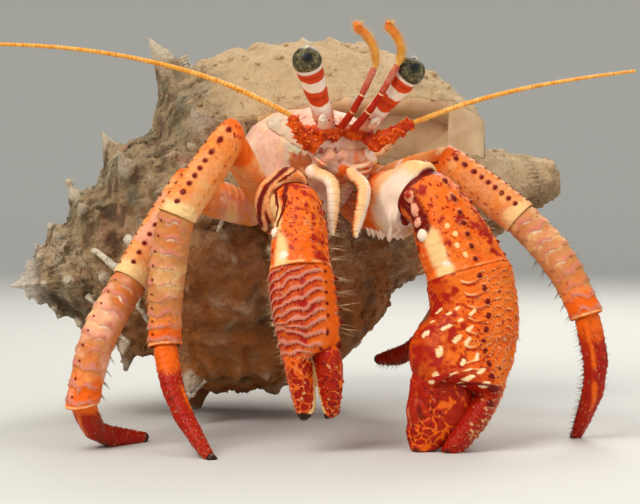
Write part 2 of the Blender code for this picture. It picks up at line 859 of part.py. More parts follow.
# The small last legs, folded against the shell's inside: root and runs.
SMALL_LEGS = {
    "leg_right4": ((-11.4, 37.0, 48.8), [(3.6, -90, 50), (3.6, -40, 40)]),
    "leg_left4": ((6.6, 38.4, 44.6), [(4.5, 80, 20), (5.0, 40, 40)]),
    "leg_right5": ((-9.4, 44.0, 50.2), [(3.2, -110, 40), (3.4, -150, 30)]),
    "leg_left5": ((2.4, 45.0, 47.4), [(3.6, 120, 20), (3.8, 150, 50)]),
}


def make_small_leg(name):
    start, runs = SMALL_LEGS[name]
    sizes = [(2.0, 1.8), (1.6, 1.4), (1.0, 1.0)]
    return limb_piece(name, walk(start, runs), sizes, upward, "leg_plate")


# ---------------------------------------------------------------- putting it together

shell = make_shell()
cut_cavity(shell)
cut_away(shell, finish(trunk_loft(GAP * 1.2), "shell_trunk_room", None, cutters))
thorax, carapace_rear, shield, face = trunk = make_trunk()
abdomen = make_abdomen()
for side in ("right", "left"):
    socket((shield, face), make_eye(side))
    make_ocular_scale(side)
    for stem in make_feelers(side):
        socket((shield, face), stem)
    socket((face,), make_maxilliped(side))
    socket(trunk, make_claw(side))
for name in LEGS:
    socket((*trunk, shell), make_leg(name))
for name in SMALL_LEGS:
    socket((carapace_rear, abdomen, shell), make_small_leg(name))

# The origin goes under the middle of the whole model, on the floor.
bpy.context.view_layer.update()
graph = bpy.context.evaluated_depsgraph_get()
spots = []
for obj in parts.objects:
    if obj is not root:
        shape = obj.evaluated_get(graph)
        spots += [shape.matrix_world @ vert.co for vert in shape.to_mesh().vertices]
        shape.to_mesh_clear()
low, high = ([pick(spot[axis] for spot in spots) for axis in range(3)] for pick in (min, max))
root.location = (-(low[0] + high[0]) / 2, -(low[1] + high[1]) / 2, -low[2])
bpy.context.view_layer.update()
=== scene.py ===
# %% [markdown]
# # A hermit crab in a murex shell
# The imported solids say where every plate, limb and feeler lies. This script measures
# them and grows each one again as a fine surface: a murex shell, the crab's armour with
# its scale rows, granules and spines, and the bristles along its edges. Lengths are in
# millimetres here, and become metres when a mesh is made.

import itertools
from math import cos, pi, radians, sin, sqrt

import bmesh
import bpy
import numpy as np
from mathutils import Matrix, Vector
from mathutils.bvhtree import BVHTree


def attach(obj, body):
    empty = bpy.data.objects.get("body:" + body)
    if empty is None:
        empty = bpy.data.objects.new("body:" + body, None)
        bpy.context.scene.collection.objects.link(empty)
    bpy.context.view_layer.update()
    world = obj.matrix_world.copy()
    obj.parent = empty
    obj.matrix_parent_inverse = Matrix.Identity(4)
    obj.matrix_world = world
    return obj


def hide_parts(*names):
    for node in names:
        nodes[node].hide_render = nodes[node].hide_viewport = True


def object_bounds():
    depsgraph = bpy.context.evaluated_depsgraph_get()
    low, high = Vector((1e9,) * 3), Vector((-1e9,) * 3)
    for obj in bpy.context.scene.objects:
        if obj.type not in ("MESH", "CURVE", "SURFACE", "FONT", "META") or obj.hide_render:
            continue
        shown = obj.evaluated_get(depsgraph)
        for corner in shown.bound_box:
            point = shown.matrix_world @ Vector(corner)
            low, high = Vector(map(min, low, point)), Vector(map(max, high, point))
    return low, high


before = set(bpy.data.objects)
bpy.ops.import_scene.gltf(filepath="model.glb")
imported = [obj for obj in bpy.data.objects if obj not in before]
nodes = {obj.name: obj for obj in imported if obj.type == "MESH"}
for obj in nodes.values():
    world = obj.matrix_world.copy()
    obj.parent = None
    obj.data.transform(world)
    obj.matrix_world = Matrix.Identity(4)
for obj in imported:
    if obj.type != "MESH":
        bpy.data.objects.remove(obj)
solid_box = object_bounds()
MM = 0.001
low_corner, high_corner = (np.array(corner) / MM for corner in solid_box)
print(f"{len(nodes)} solids, {np.round(high_corner - low_corner, 1)} mm")

# %% [markdown]
# ## Camera, floor and light
# The camera stands low in front of the crab, a little above its claws, with a long
# lens that keeps the near claw from looking large. The floor turns up into a backdrop
# all round, so no horizon crosses the model, and four broad lamps light it softly.

# %% Camera
CAMERA_HEIGHT = 38.3
CAMERA_AHEAD = 301.9
CAMERA_LEFT = 6.5
LENS = 99.3
SENSOR = 36.0
LENS_SHIFT = -0.084375

scene = bpy.context.scene
camera_data = bpy.data.cameras.new("camera")
camera_data.lens = LENS
camera_data.sensor_width = SENSOR
camera_data.shift_y = LENS_SHIFT
camera_data.clip_start = 1 * MM
camera_data.dof.use_dof = False
camera = bpy.data.objects.new("camera", camera_data)
camera.location = Vector((CAMERA_LEFT, -CAMERA_AHEAD, CAMERA_HEIGHT)) * MM
camera.rotation_euler = (radians(90), 0, 0)
scene.collection.objects.link(camera)
scene.camera = camera
print(f"camera {CAMERA_AHEAD:.0f} mm ahead, lens {LENS} mm")

# %% Floor, backdrop and lamps
STAGE_RADIUS = 900.0
WALL_TALL = 420.0
WALL_CURVE = 260.0
WALL_STEPS = 13
STAGE_SIDES = 96


def make_stage():
    """A pale round floor whose border curves up into a low wall on every side."""
    turns = np.radians(np.linspace(0, 90, WALL_STEPS))
    away = [*(STAGE_RADIUS - WALL_CURVE + WALL_CURVE * np.sin(turns)), STAGE_RADIUS]
    tall = [*(WALL_CURVE * (1 - np.cos(turns))), WALL_TALL]
    around = 2 * pi * np.arange(STAGE_SIDES) / STAGE_SIDES
    spots = [(x * cos(a), x * sin(a), z) for x, z in zip(away, tall) for a in around]
    faces = [tuple(range(STAGE_SIDES))]
    for first in range(0, len(spots) - STAGE_SIDES, STAGE_SIDES):
        for side in range(STAGE_SIDES):
            here, after = first + side, first + (side + 1) % STAGE_SIDES
            faces.append((after, here, here + STAGE_SIDES, after + STAGE_SIDES))
    mesh = bpy.data.meshes.new("stage")
    mesh.from_pydata((np.array(spots) * MM).tolist(), [], faces)
    mesh.shade_smooth()
    return bpy.data.objects.new("stage", mesh)


def plain_material(name, colour, roughness):
    made = bpy.data.materials.new(name)
    made.use_nodes = True
    shader = made.node_tree.nodes["Principled BSDF"]
    shader.inputs["Base Color"].default_value = (*colour, 1)
    shader.inputs["Roughness"].default_value = roughness
    return made


def add_lamp(name, place, size, watts, colour, target=(0, 0, 25)):
    """A square soft lamp that looks at the model."""
    data = bpy.data.lights.new(name, "AREA")
    data.shape = "SQUARE"
    data.size = size * MM
    data.energy = watts
    data.color = colour
    lamp = bpy.data.objects.new(name, data)
    lamp.location = Vector(place) * MM
    lamp.rotation_euler = (Vector(target) - Vector(place)).to_track_quat("-Z", "Y").to_euler()
    scene.collection.objects.link(lamp)


stage = make_stage()
stage.data.materials.append(plain_material("stage_paint", (0.6, 0.6, 0.57), 0.85))
scene.collection.objects.link(stage)
WARM = (1.0, 0.95, 0.88)
COOL = (0.9, 0.96, 1.0)
add_lamp("key_lamp", (-190, -260, 330), 240, 1.6, WARM)
add_lamp("fill_lamp", (330, -240, 150), 260, 0.5, COOL)
add_lamp("rim_lamp", (120, 300, 320), 220, 1.1, WARM)
add_lamp("sky_lamp", (0, 0, 1100), 1500, 7.0, (1.0, 0.98, 0.95))
world = bpy.data.worlds.new("studio_air")
world.use_nodes = True
air = world.node_tree.nodes["Background"]
air.inputs["Color"].default_value = (0.85, 0.88, 0.92, 1)
air.inputs["Strength"].default_value = 0.16
scene.world = world
scene.view_settings.view_transform = "Standard"
print("stage and four lamps")

# %% [markdown]
# ## Reading the solids
# A limb's solid is a bent column. Cutting it with planes gives its centre line, and
# rays from that line its half width all round. The two are a *form*: rings as fine as
# the relief needs, where every place has a length along the limb and an angle round it.

# %% Objects and meshes
def place_object(name, mesh):
    """A new object of the scene that shows a mesh."""
    obj = bpy.data.objects.new(name, mesh)
    scene.collection.objects.link(obj)
    return obj


def modified_mesh(obj):
    """A mesh with all of an object's modifiers applied."""
    graph = bpy.context.evaluated_depsgraph_get()
    return bpy.data.meshes.new_from_object(obj.evaluated_get(graph))


# %% Small array tools
rng = np.random.default_rng(7)
EAST, _, UP = np.eye(3)


def unit(vectors):
    return vectors / np.maximum(np.linalg.norm(vectors, axis=-1, keepdims=True), 1e-12)


def ease(x, low=0.0, high=1.0):
    """0 below low, 1 above high, and a smooth rise between."""
    f = np.clip((x - low) / (high - low), 0, 1)
    return f * f * (3 - 2 * f)


def fall(x, low=0.0, high=1.0):
    """1 below low, 0 above high, and a smooth fall between."""
    return 1 - ease(x, low, high)


def bell(x, width):
    return np.exp(-((x / width) ** 2))


def soften(values, reach):
    """A Gaussian mean along the first axis, reach rows wide, which holds the two ends."""
    span = int(3 * reach) + 1
    if len(values) <= span:
        return values
    first = 2 * values[:1] - values[span:0:-1]
    last = 2 * values[-1:] - values[-2 : -span - 2 : -1]
    padded = np.concatenate([first, values, last])
    weights = bell(np.arange(-span, span + 1), reach * sqrt(2))
    weights /= weights.sum()
    return sum(w * padded[i : i + len(values)] for i, w in enumerate(weights))


def resample(values, where):
    """Rows of values (spread evenly over 0 to 1) read at where, straight between rows."""
    place = np.clip(where, 0, 1) * (len(values) - 1)
    i = np.minimum(place.astype(int), len(values) - 2)
    f = (place - i).reshape((-1,) + (1,) * (values.ndim - 1))
    return values[i] * (1 - f) + values[i + 1] * f


def lumps(spots, size, seed=0):
    """Smooth noise from -1 to 1 in space, with lumps of about this size."""
    p = spots / size + seed * 13.7
    cell = np.floor(p).astype(np.int64)
    f = ease(p - cell)
    total = np.zeros(p.shape[:-1])
    for corner in itertools.product((0, 1), repeat=3):
        c = cell + corner
        mixed = c[..., 0] * 73856093 ^ c[..., 1] * 19349663 ^ c[..., 2] * 83492791
        mixed = (mixed ^ (mixed >> 13)) * 1274126177 & 0xFFFFFF
        weight = np.prod(np.where(np.array(corner) == 1, f, 1 - f), axis=-1)
        total += weight * (mixed / 0x7FFFFF - 1)
    return total


def rough(spots, size, octaves=3, seed=0):
    """lumps() of several sizes, each half as large and half as strong as the last."""
    return sum(lumps(spots, size / 2**k, seed + k) / 2**k for k in range(octaves))


# %% Triangles, sections and rays of a solid
FLAT_NEAR = 0.6
FLAT_ALIKE = 0.985
ROOT_SHARE = 0.06


def read(rows, key, width=1, kind=np.float32):
    """One property of every item in a mesh's list, as an array."""
    values = np.empty(len(rows) * width, kind)
    rows.foreach_get(key, values)
    return values.reshape(-1, width) if width > 1 else values


def triangles(*names):
    """The corners of solids' triangles in millimetres, as (n, 3, 3)."""
    found = []
    for name in names:
        mesh = nodes[name].data
        mesh.calc_loop_triangles()
        corners = read(mesh.loop_triangles, "vertices", 3, np.int32)
        found.append(read(mesh.vertices, "co", 3)[corners] / MM)
    return np.concatenate(found).astype(float)


def points_of(name):
    """The corners of a solid, in millimetres."""
    return triangles(name).reshape(-1, 3)


def ray_tree(tris):
    spots = [Vector(spot) for spot in tris.reshape(-1, 3)]
    return BVHTree.FromPolygons(spots, [(i, i + 1, i + 2) for i in range(0, len(spots), 3)])


def section(tris, point, normal):
    """The middle of the outline where a plane cuts the triangles, or None."""
    side = (tris - point) @ normal
    crossed = side * np.roll(side, -1, axis=1) < 0
    cut = crossed.sum(1) == 2
    side, corners, crossed = side[cut], tris[cut], crossed[cut]
    if not len(side):
        return None
    part = side / (side - np.roll(side, -1, axis=1) + 1e-12)
    spots = corners + part[..., None] * (np.roll(corners, -1, axis=1) - corners)
    pairs = spots[crossed].reshape(-1, 2, 3)
    lengths = np.linalg.norm(pairs[:, 0] - pairs[:, 1], axis=1)
    return (pairs.mean(1) * lengths[:, None]).sum(0) / lengths.sum()


def facing(name, other):
    """Middle and outward direction of the flat that one solid turns to another."""
    tris = triangles(name)
    cross = np.cross(tris[:, 1] - tris[:, 0], tris[:, 2] - tris[:, 0])
    area = np.linalg.norm(cross, axis=1)
    normals = unit(cross)
    middles = tris.mean(1)
    tree = ray_tree(triangles(other))
    near = np.array([tree.find_nearest(Vector(spot))[3] for spot in middles]) < FLAT_NEAR
    alike = (normals @ normals.T > FLAT_ALIKE) & near[None, :]
    shared = (alike * area).sum(1) * near
    flat = alike[np.argmax(shared)]
    weight = area * flat
    return (middles * weight[:, None]).sum(0) / weight.sum(), unit(cross[flat].sum(0))


def tip_of(name, far_from):
    """The corner of a solid that lies farthest from a point."""
    spots = points_of(name)
    return spots[np.argmax(np.linalg.norm(spots - far_from, axis=1))]


def near_end(name, point, depth=0.5):
    """The middle of the end of a solid that lies nearest a point."""
    spots = points_of(name)
    along = spots @ unit(point - spots.mean(0))
    return spots[along > along.max() - depth].mean(0)


print("ready to measure", sum(len(n.data.polygons) for n in nodes.values()), "triangles")

# %% [markdown]
# ## Forms
# A form keeps coarse measurements and gives them back at any fineness. Rings near a
# joint tilt until they lie in the joint's plane, as the rim of a real segment does.


# %% The Form of a limb piece
class Form:
    """A centre line with half widths all round it, read from a solid."""

    ROWS = 41
    SPOKES = 36

    def __init__(self, tris, start, end, hint, trust=(0.15, 0.85), line=None, harmonics=5):
        self.hint = np.asarray(hint, float)
        if line is None:
            line = self.trace(tris, np.asarray(start, float), np.asarray(end, float))
        self.line = line
        self.length = np.linalg.norm(np.diff(line, axis=0), axis=1).sum()
        self.planes = [None, None]
        self.measure(tris, trust, harmonics)

    def trace(self, tris, start, end):
        """The centre line: repeatedly the middles of square cuts across the last line."""
        t = np.linspace(0, 1, self.ROWS)
        line = start + (end - start) * t[:, None]
        inner = [k for k in range(self.ROWS) if 0.12 <= t[k] <= 0.9]
        for _ in range(3):
            tangents = unit(np.gradient(line, axis=0))
            middles = [section(tris, line[k], tangents[k]) for k in inner]
            known = [0.0] + [t[k] for k, m in zip(inner, middles) if m is not None] + [1.0]
            spots = np.array([start] + [m for m in middles if m is not None] + [end])
            line = np.stack([np.interp(t, known, spots[:, i]) for i in range(3)], axis=1)
            line = soften(line, 2.0)
            steps = np.linalg.norm(np.diff(line, axis=0), axis=1)
            gone = np.concatenate([[0], np.cumsum(steps)]) / steps.sum()
            line = np.stack([np.interp(t, gone, line[:, i]) for i in range(3)], axis=1)
        return line

    def axes(self, line):
        tangent = unit(np.gradient(line, axis=0))
        along = unit(self.hint - tangent * (tangent @ self.hint)[:, None])
        return tangent, along, np.cross(along, tangent)

    def measure(self, tris, trust, harmonics):
        """Half widths at every row and spoke, by rays, without their sharp corners."""
        tree = ray_tree(tris)
        _, along, across = self.axes(self.line)
        angle = 2 * pi * np.arange(self.SPOKES) / self.SPOKES
        found = np.zeros((self.ROWS, self.SPOKES))
        for k in range(self.ROWS):
            for j, a in enumerate(angle):
                aim = along[k] * cos(a) + across[k] * sin(a)
                hit = tree.ray_cast(Vector(self.line[k]), Vector(aim))
                found[k, j] = hit[3] if hit[3] is not None else np.nan
        t = np.linspace(0, 1, self.ROWS)
        good = ~np.isnan(found).any(1) & (t >= trust[0]) & (t <= trust[1])
        for j in range(self.SPOKES):
            found[:, j] = np.interp(t, t[good], found[good, j])
        waves = np.fft.rfft(found, axis=1)
        waves[:, harmonics + 1 :] = 0
        self.half = soften(np.fft.irfft(waves, self.SPOKES, axis=1), 0.8)

    def rings(self, s, spokes, scale=1.0, tilt_reach=0.35):
        """Points, outward directions and angles of rings at lengths s along the form."""
        s = np.asarray(s, float)
        t = s / self.length
        fine = np.linspace(0, 1, 8 * self.ROWS)
        line = soften(resample(self.line, fine), 5)
        tangent, along, across = self.axes(line)
        beyond = (np.minimum(t, 0) + np.maximum(t - 1, 0)) * self.length
        tangent, along, across, centre = (resample(v, t) for v in (tangent, along, across, line))
        centre = centre + unit(tangent) * beyond[:, None]
        angle = 2 * pi * np.arange(spokes) / spokes
        waves = np.fft.rfft(soften(resample(self.half, fine), 5), axis=1)
        half = np.fft.irfft(resample(waves, t), spokes, axis=1) * (spokes / self.SPOKES)
        out = unit(along[:, None] * np.cos(angle)[:, None] + across[:, None] * np.sin(angle)[:, None])
        scale = np.asarray(scale, float)
        half = half * (scale[:, None] if scale.ndim == 1 else scale)
        spots = centre[:, None] + out * half[..., None]
        for plane, end in zip(self.planes, (0.0, 1.0)):
            if plane is None:
                continue
            weight = 1 - ease(np.abs(t - end), 0.0, tilt_reach)
            slope = tangent @ plane
            lean = ((centre[:, None] - spots) @ plane) / slope[:, None]
            spots = spots + tangent[:, None] * (lean * weight[:, None])[..., None]
        return spots, out, angle, half


def chain(names, first_start, hint):
    """The forms of a row of jointed solids, which share their joints' planes."""
    joints = []
    for near, far in zip(names, names[1:]):
        here, out_here = facing(near, far)
        there, out_there = facing(far, near)
        joints.append(((here + there) / 2, unit(out_here - out_there)))
    starts = [np.asarray(first_start, float)] + [j[0] for j in joints]
    forms = {}
    for i, name in enumerate(names):
        last = i == len(names) - 1
        end = tip_of(name, starts[i]) if last else joints[i][0]
        trust = (0.04 if i == 0 else 0.2, 0.97 if last else 0.8)
        form = Form(triangles(name), starts[i], end, hint, trust)
        form.planes = [joints[i - 1][1] if i else None, None if last else joints[i][1]]
        forms[name] = form
    return forms


def measure_limb(names, hint):
    """The forms of a whole limb, from just inside the free end of its first solid."""
    knee, _ = facing(names[0], names[1])
    root = tip_of(names[0], knee)
    forms.update(chain(names, root + (knee - root) * ROOT_SHARE, hint))


# %% Forms drawn along a curve
def smooth_path(points, count=41):
    """A smooth curve through a few points, evenly read."""
    p = np.array(points, float)
    p = np.concatenate([2 * p[:1] - p[1:2], p, 2 * p[-1:] - p[-2:-1]])
    t = np.linspace(0, len(p) - 3, count)
    i = np.minimum(t.astype(int), len(p) - 4)
    f = (t - i)[:, None]
    a, b, c, d = (p[i + k] for k in range(4))
    return 0.5 * (2 * b + (c - a) * f + (2 * a - 5 * b + 4 * c - d) * f**2 + (3 * b - a - 3 * c + d) * f**3)


def drawn_form(points, across, over, hint):
    """A form with half widths towards the hint and across it, given along its length."""
    form = Form.__new__(Form)
    form.hint = np.asarray(hint, float)
    form.line = smooth_path(points)
    form.length = np.linalg.norm(np.diff(form.line, axis=0), axis=1).sum()
    form.planes = [None, None]
    angle = 2 * pi * np.arange(Form.SPOKES) / Form.SPOKES
    t = np.linspace(0, 1, Form.ROWS)
    a = np.interp(t, np.linspace(0, 1, len(across)), across)[:, None]
    b = np.interp(t, np.linspace(0, 1, len(over)), over)[:, None]
    form.half = 1 / np.sqrt((np.cos(angle) / a) ** 2 + (np.sin(angle) / b) ** 2)
    return form


# %% Measure the four walking legs
SIDES = ("left", "right")
LEG_NAMES = ["leg_right2", "leg_right3", "leg_left2", "leg_left3"]
SEGMENTS = ["merus", "carpus", "propodus", "dactyl"]
forms = {}
for leg in LEG_NAMES:
    names = [f"{leg}_{segment}" for segment in SEGMENTS]
    measure_limb(names, (0.6 if "left" in leg else -0.6, -0.25, 0.75))
print({name: round(float(form.length), 1) for name, form in forms.items()})

# %% [markdown]
# ## Node trees in plain sums
# A node tree is easier to read as arithmetic. The class Wire wraps one socket, so a
# sum in Python adds the Math nodes, and every other node comes from its one method.


# %% The Wire class
def sum_of(operation, swapped=False):
    """A method that adds one Math node, for an operator of Wire."""
    def join(wire, other):
        return wire.maths(operation, *((other, wire) if swapped else (wire, other)))

    return join


class Wire:
    """A socket of a node tree that takes part in sums."""

    def __init__(self, tree, socket=None):
        self.tree = tree
        self.socket = socket

    def node(self, kind, inputs=None, output=0, **settings):
        """Add a node: its settings first, then the values or wires of its sockets."""
        made = self.tree.nodes.new(kind)
        for key, value in settings.items():
            setattr(made, key, value)
        for key, value in (inputs or {}).items():
            if isinstance(value, Wire):
                self.tree.links.new(value.socket, made.inputs[key])
            else:
                made.inputs[key].default_value = value
        return Wire(self.tree, made.outputs[output])

    def maths(self, operation, *values):
        return self.node("ShaderNodeMath", dict(enumerate(values)), operation=operation)

    def mix(self, first, second):
        """Between two colours, by this wire's value."""
        colours = {0: self}
        for socket, colour in ((6, first), (7, second)):
            colours[socket] = colour if isinstance(colour, Wire) else (*colour, 1.0)
        return self.node("ShaderNodeMix", colours, 2, data_type="RGBA", clamp_factor=True)

    def between(self, low, high):
        """0 where this is low or less, 1 where it is high or more, smooth between."""
        ends = {0: self, 1: low, 2: high}
        return self.node("ShaderNodeMapRange", ends, interpolation_type="SMOOTHSTEP")

    def part(self, axis):
        """The x, y or z of a place, for axis 0, 1 or 2."""
        return self.node("ShaderNodeSeparateXYZ", {0: self}, axis)

    least = sum_of("MINIMUM")
    most = sum_of("MAXIMUM")
    __add__ = __radd__ = sum_of("ADD")
    __sub__ = sum_of("SUBTRACT")
    __rsub__ = sum_of("SUBTRACT", swapped=True)
    __mul__ = __rmul__ = sum_of("MULTIPLY")
    __truediv__ = sum_of("DIVIDE")
    __pow__ = sum_of("POWER")


print("wires ready")

# %% [markdown]
# ## The armour's finish
# A crab's cuticle is hard, faintly translucent and satin, coloured in soft clouds with
# fine speckles. On top lie marks: red spine tips, dark grooves, pale rims. Each mark is
# an attribute that the relief lays down with its height, so colour and shape agree.

# %% Colours and the cuticle material
PALE_ORANGE = (0.84, 0.24, 0.035)
ORANGE = (0.8, 0.12, 0.004)
SCARLET = (0.37, 0.01, 0.002)
DARK_RED = (0.16, 0.005, 0.002)
CREAM = (0.9, 0.58, 0.25)
PEACH = (0.82, 0.32, 0.1)
MARKS = {
    "membrane": DARK_RED,
    "tan": (0.5, 0.2, 0.065),
    "pale": CREAM,
    "white": (0.92, 0.74, 0.58),
    "pink": (0.8, 0.36, 0.22),
    "orange": ORANGE,
    "flush": SCARLET,
    "violet": (0.62, 0.2, 0.13),
    "dark": DARK_RED,
    "horn": (0.03, 0.012, 0.008),
}


def layered(colour, *layers):
    """Colours laid one over another, as (amount, colour)."""
    for amount, tint in layers:
        colour = amount.mix(colour, tint)
    return colour


class Finish:
    """A Principled material, built from wires over its own tree."""

    def __init__(self, name, **settings):
        self.material = bpy.data.materials.new(name)
        self.material.use_nodes = True
        self.tree = self.material.node_tree
        self.shader = self.tree.nodes["Principled BSDF"]
        self.start = Wire(self.tree)
        self.place = self.start.node("ShaderNodeTexCoord", output=3)
        for key, value in settings.items():
            self.shader.inputs[key.replace("_", " ")].default_value = value

    def noise(self, size, detail=3.0, roughness=0.55):
        """Smooth noise about 0.5, with lumps of this size in millimetres."""
        inputs = {"Vector": self.place, "Scale": 1 / (size * MM), "Detail": detail, "Roughness": roughness}
        return self.start.node("ShaderNodeTexNoise", inputs)

    def cells(self, size):
        inputs = {"Vector": self.place, "Scale": 1 / (size * MM)}
        return self.start.node("ShaderNodeTexVoronoi", inputs)

    def mark(self, name):
        """The value that a piece's relief laid down under this name."""
        return self.start.node("ShaderNodeAttribute", output=2, attribute_name=name)

    def done(self, colour, roughness, bumps):
        """Link the colour, the roughness, and bumps as (height, strength, depth in mm)."""
        self.tree.links.new(colour.socket, self.shader.inputs["Base Color"])
        self.tree.links.new(roughness.socket, self.shader.inputs["Roughness"])
        normal = None
        for height, strength, depth in bumps:
            inputs = {"Strength": strength, "Distance": depth * MM, "Height": height}
            if normal:
                inputs["Normal"] = normal
            normal = self.start.node("ShaderNodeBump", inputs)
        self.tree.links.new(normal.socket, self.shader.inputs["Normal"])
        return self.material


def cuticle(name, base, second, marks, deep=None, satin=0.42, speckle=0.35, cloud=3.2):
    """A hard plate: two colours in clouds, a deeper one in flecks, then its marks."""
    finish = Finish(name, Subsurface_Weight=0.1, Subsurface_Scale=0.5 * MM, Specular_IOR_Level=0.13)
    finish.shader.inputs["Subsurface Radius"].default_value = (1.0, 0.3, 0.1)
    clouds = finish.noise(cloud, 3.0)
    flecks = finish.noise(1.05, 4.0, 0.62)
    fine = finish.noise(0.34, 3.0, 0.6)
    pores = finish.cells(0.5)
    deep = deep or [c * 0.45 for c in base]
    bright = [min(c * 1.15 + 0.03, 1) for c in second]
    colour = layered(
        base,
        (clouds.between(0.38, 0.62), second),
        (flecks.between(0.5, 0.68) * speckle * 1.3, deep),
        ((1 - flecks).between(0.56, 0.72) * speckle, bright),
        ((1 - pores.between(0.05, 0.22)) * speckle, deep),
    )
    for mark in marks:
        edge = finish.mark(mark) + (flecks - 0.5) * 0.55 + (fine - 0.5) * 0.25
        colour = edge.between(0.2, 0.8).mix(colour, MARKS[mark])
    roughness = clouds * 0.16 + fine * 0.22 + (satin - 0.19)
    pits = pores.between(0.0, 0.3)
    bumps = [(1 - flecks, 0.55, 0.28), (fine, 0.45, 0.1), (pits, 0.35, 0.07)]
    return finish.done(colour, roughness, bumps)


leg_marks = ["tan", "pink", "orange", "flush", "violet", "pale", "white", "dark", "membrane", "horn"]
leg_cuticle = cuticle("leg_cuticle", PEACH, PALE_ORANGE, leg_marks, (0.66, 0.15, 0.05))
claw_cuticle = cuticle(
    "claw_cuticle", ORANGE, (0.8, 0.165, 0.012), leg_marks, (0.52, 0.035, 0.004), cloud=4.0)
finger_cuticle = cuticle(
    "finger_cuticle", SCARLET, (0.4, 0.018, 0.002), leg_marks, (0.18, 0.006, 0.002), cloud=2.2)
pale_cuticle = cuticle(
    "pale_cuticle", CREAM, (0.88, 0.5, 0.24), leg_marks, (0.8, 0.26, 0.09), speckle=0.25)
print("four cuticles")

# %% [markdown]
# ## Relief on a form
# Every plate is a grid of rings. A narrow neck slips into the plate before, and the far
# end has a thick lip round a dark socket, so neighbours meet like real joints. The
# relief adds rows of overlapping scales, and studs for granules, tubercles and spines.

# %% From rings to a mesh
DEEPEST = 0.0


def shape_mesh(name, spots, faces, fields=None):
    """An object from points in millimetres, its faces, and its point attributes."""
    spots = np.asarray(spots, float)
    mesh = bpy.data.meshes.new(name)
    mesh.from_pydata((spots * MM).tolist(), [], faces)
    for key, values in (fields or {}).items():
        attribute = mesh.attributes.new(key, "FLOAT", "POINT")
        attribute.data.foreach_set("value", np.asarray(values, np.float32))
    mesh.shade_smooth()
    mesh.update()
    return place_object(name, mesh)


def ring_faces(rows, spokes):
    """Faces of a tube of rings, with a fan to a pole at each end, facing outwards."""
    k, j = np.meshgrid(np.arange(rows - 1), np.arange(spokes), indexing="ij")
    near = (j + 1) % spokes
    first, last = k * spokes, (k + 1) * spokes
    quads = np.stack([first + j, last + j, last + near, first + near], axis=-1)
    pole = rows * spokes
    j = np.arange(spokes)
    near = (j + 1) % spokes
    caps = [np.stack([np.full(spokes, pole), j, near], 1)]
    top = (rows - 1) * spokes
    caps.append(np.stack([np.full(spokes, pole + 1), top + near, top + j], 1))
    return quads.reshape(-1, 4).tolist() + np.concatenate(caps).tolist()


def ring_mesh(name, rings, fields=None):
    """A closed skin over rings (rows, spokes, 3), with attributes of (rows, spokes)."""
    rows, spokes, _ = rings.shape
    spots = np.concatenate([rings.reshape(-1, 3), [rings[0].mean(0), rings[-1].mean(0)]])
    spots[:, 2] = np.maximum(spots[:, 2], DEEPEST)
    values = {}
    for key, field in (fields or {}).items():
        field = np.clip(field, 0, 1)
        values[key] = np.concatenate([field.ravel(), [field[0].mean(), field[-1].mean()]])
    return shape_mesh(name, spots, ring_faces(rows, spokes), values)


def settle(obj, material, slot, *replaced):
    """Give a finished piece its material and its body, and hide the solids it stands for; the slot is not
    used.
    """
    if not obj.data.materials:
        obj.data.materials.append(material)
    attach(obj, "root")
    if replaced:
        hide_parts(*replaced)
    return obj


# %% The Relief class
NECK = 1.3
LIP = 0.12
GRAIN = 0.17
SOCKET = [(0.1, 0.97), (0.08, 0.93), (-0.2, 0.89), (-0.6, 0.84), (-0.8, 0.55), (-0.85, 0.03)]


class Marked:
    """A surface whose points (spots) have heights, and marks under names."""

    def mark(self, **marks):
        for name, values in marks.items():
            values = values * np.ones(self.height.shape)
            self.marks[name] = np.maximum(values, self.marks.get(name, 0))

    def rough(self, size, octaves, seed):
        return rough(self.spots, size, octaves, seed)


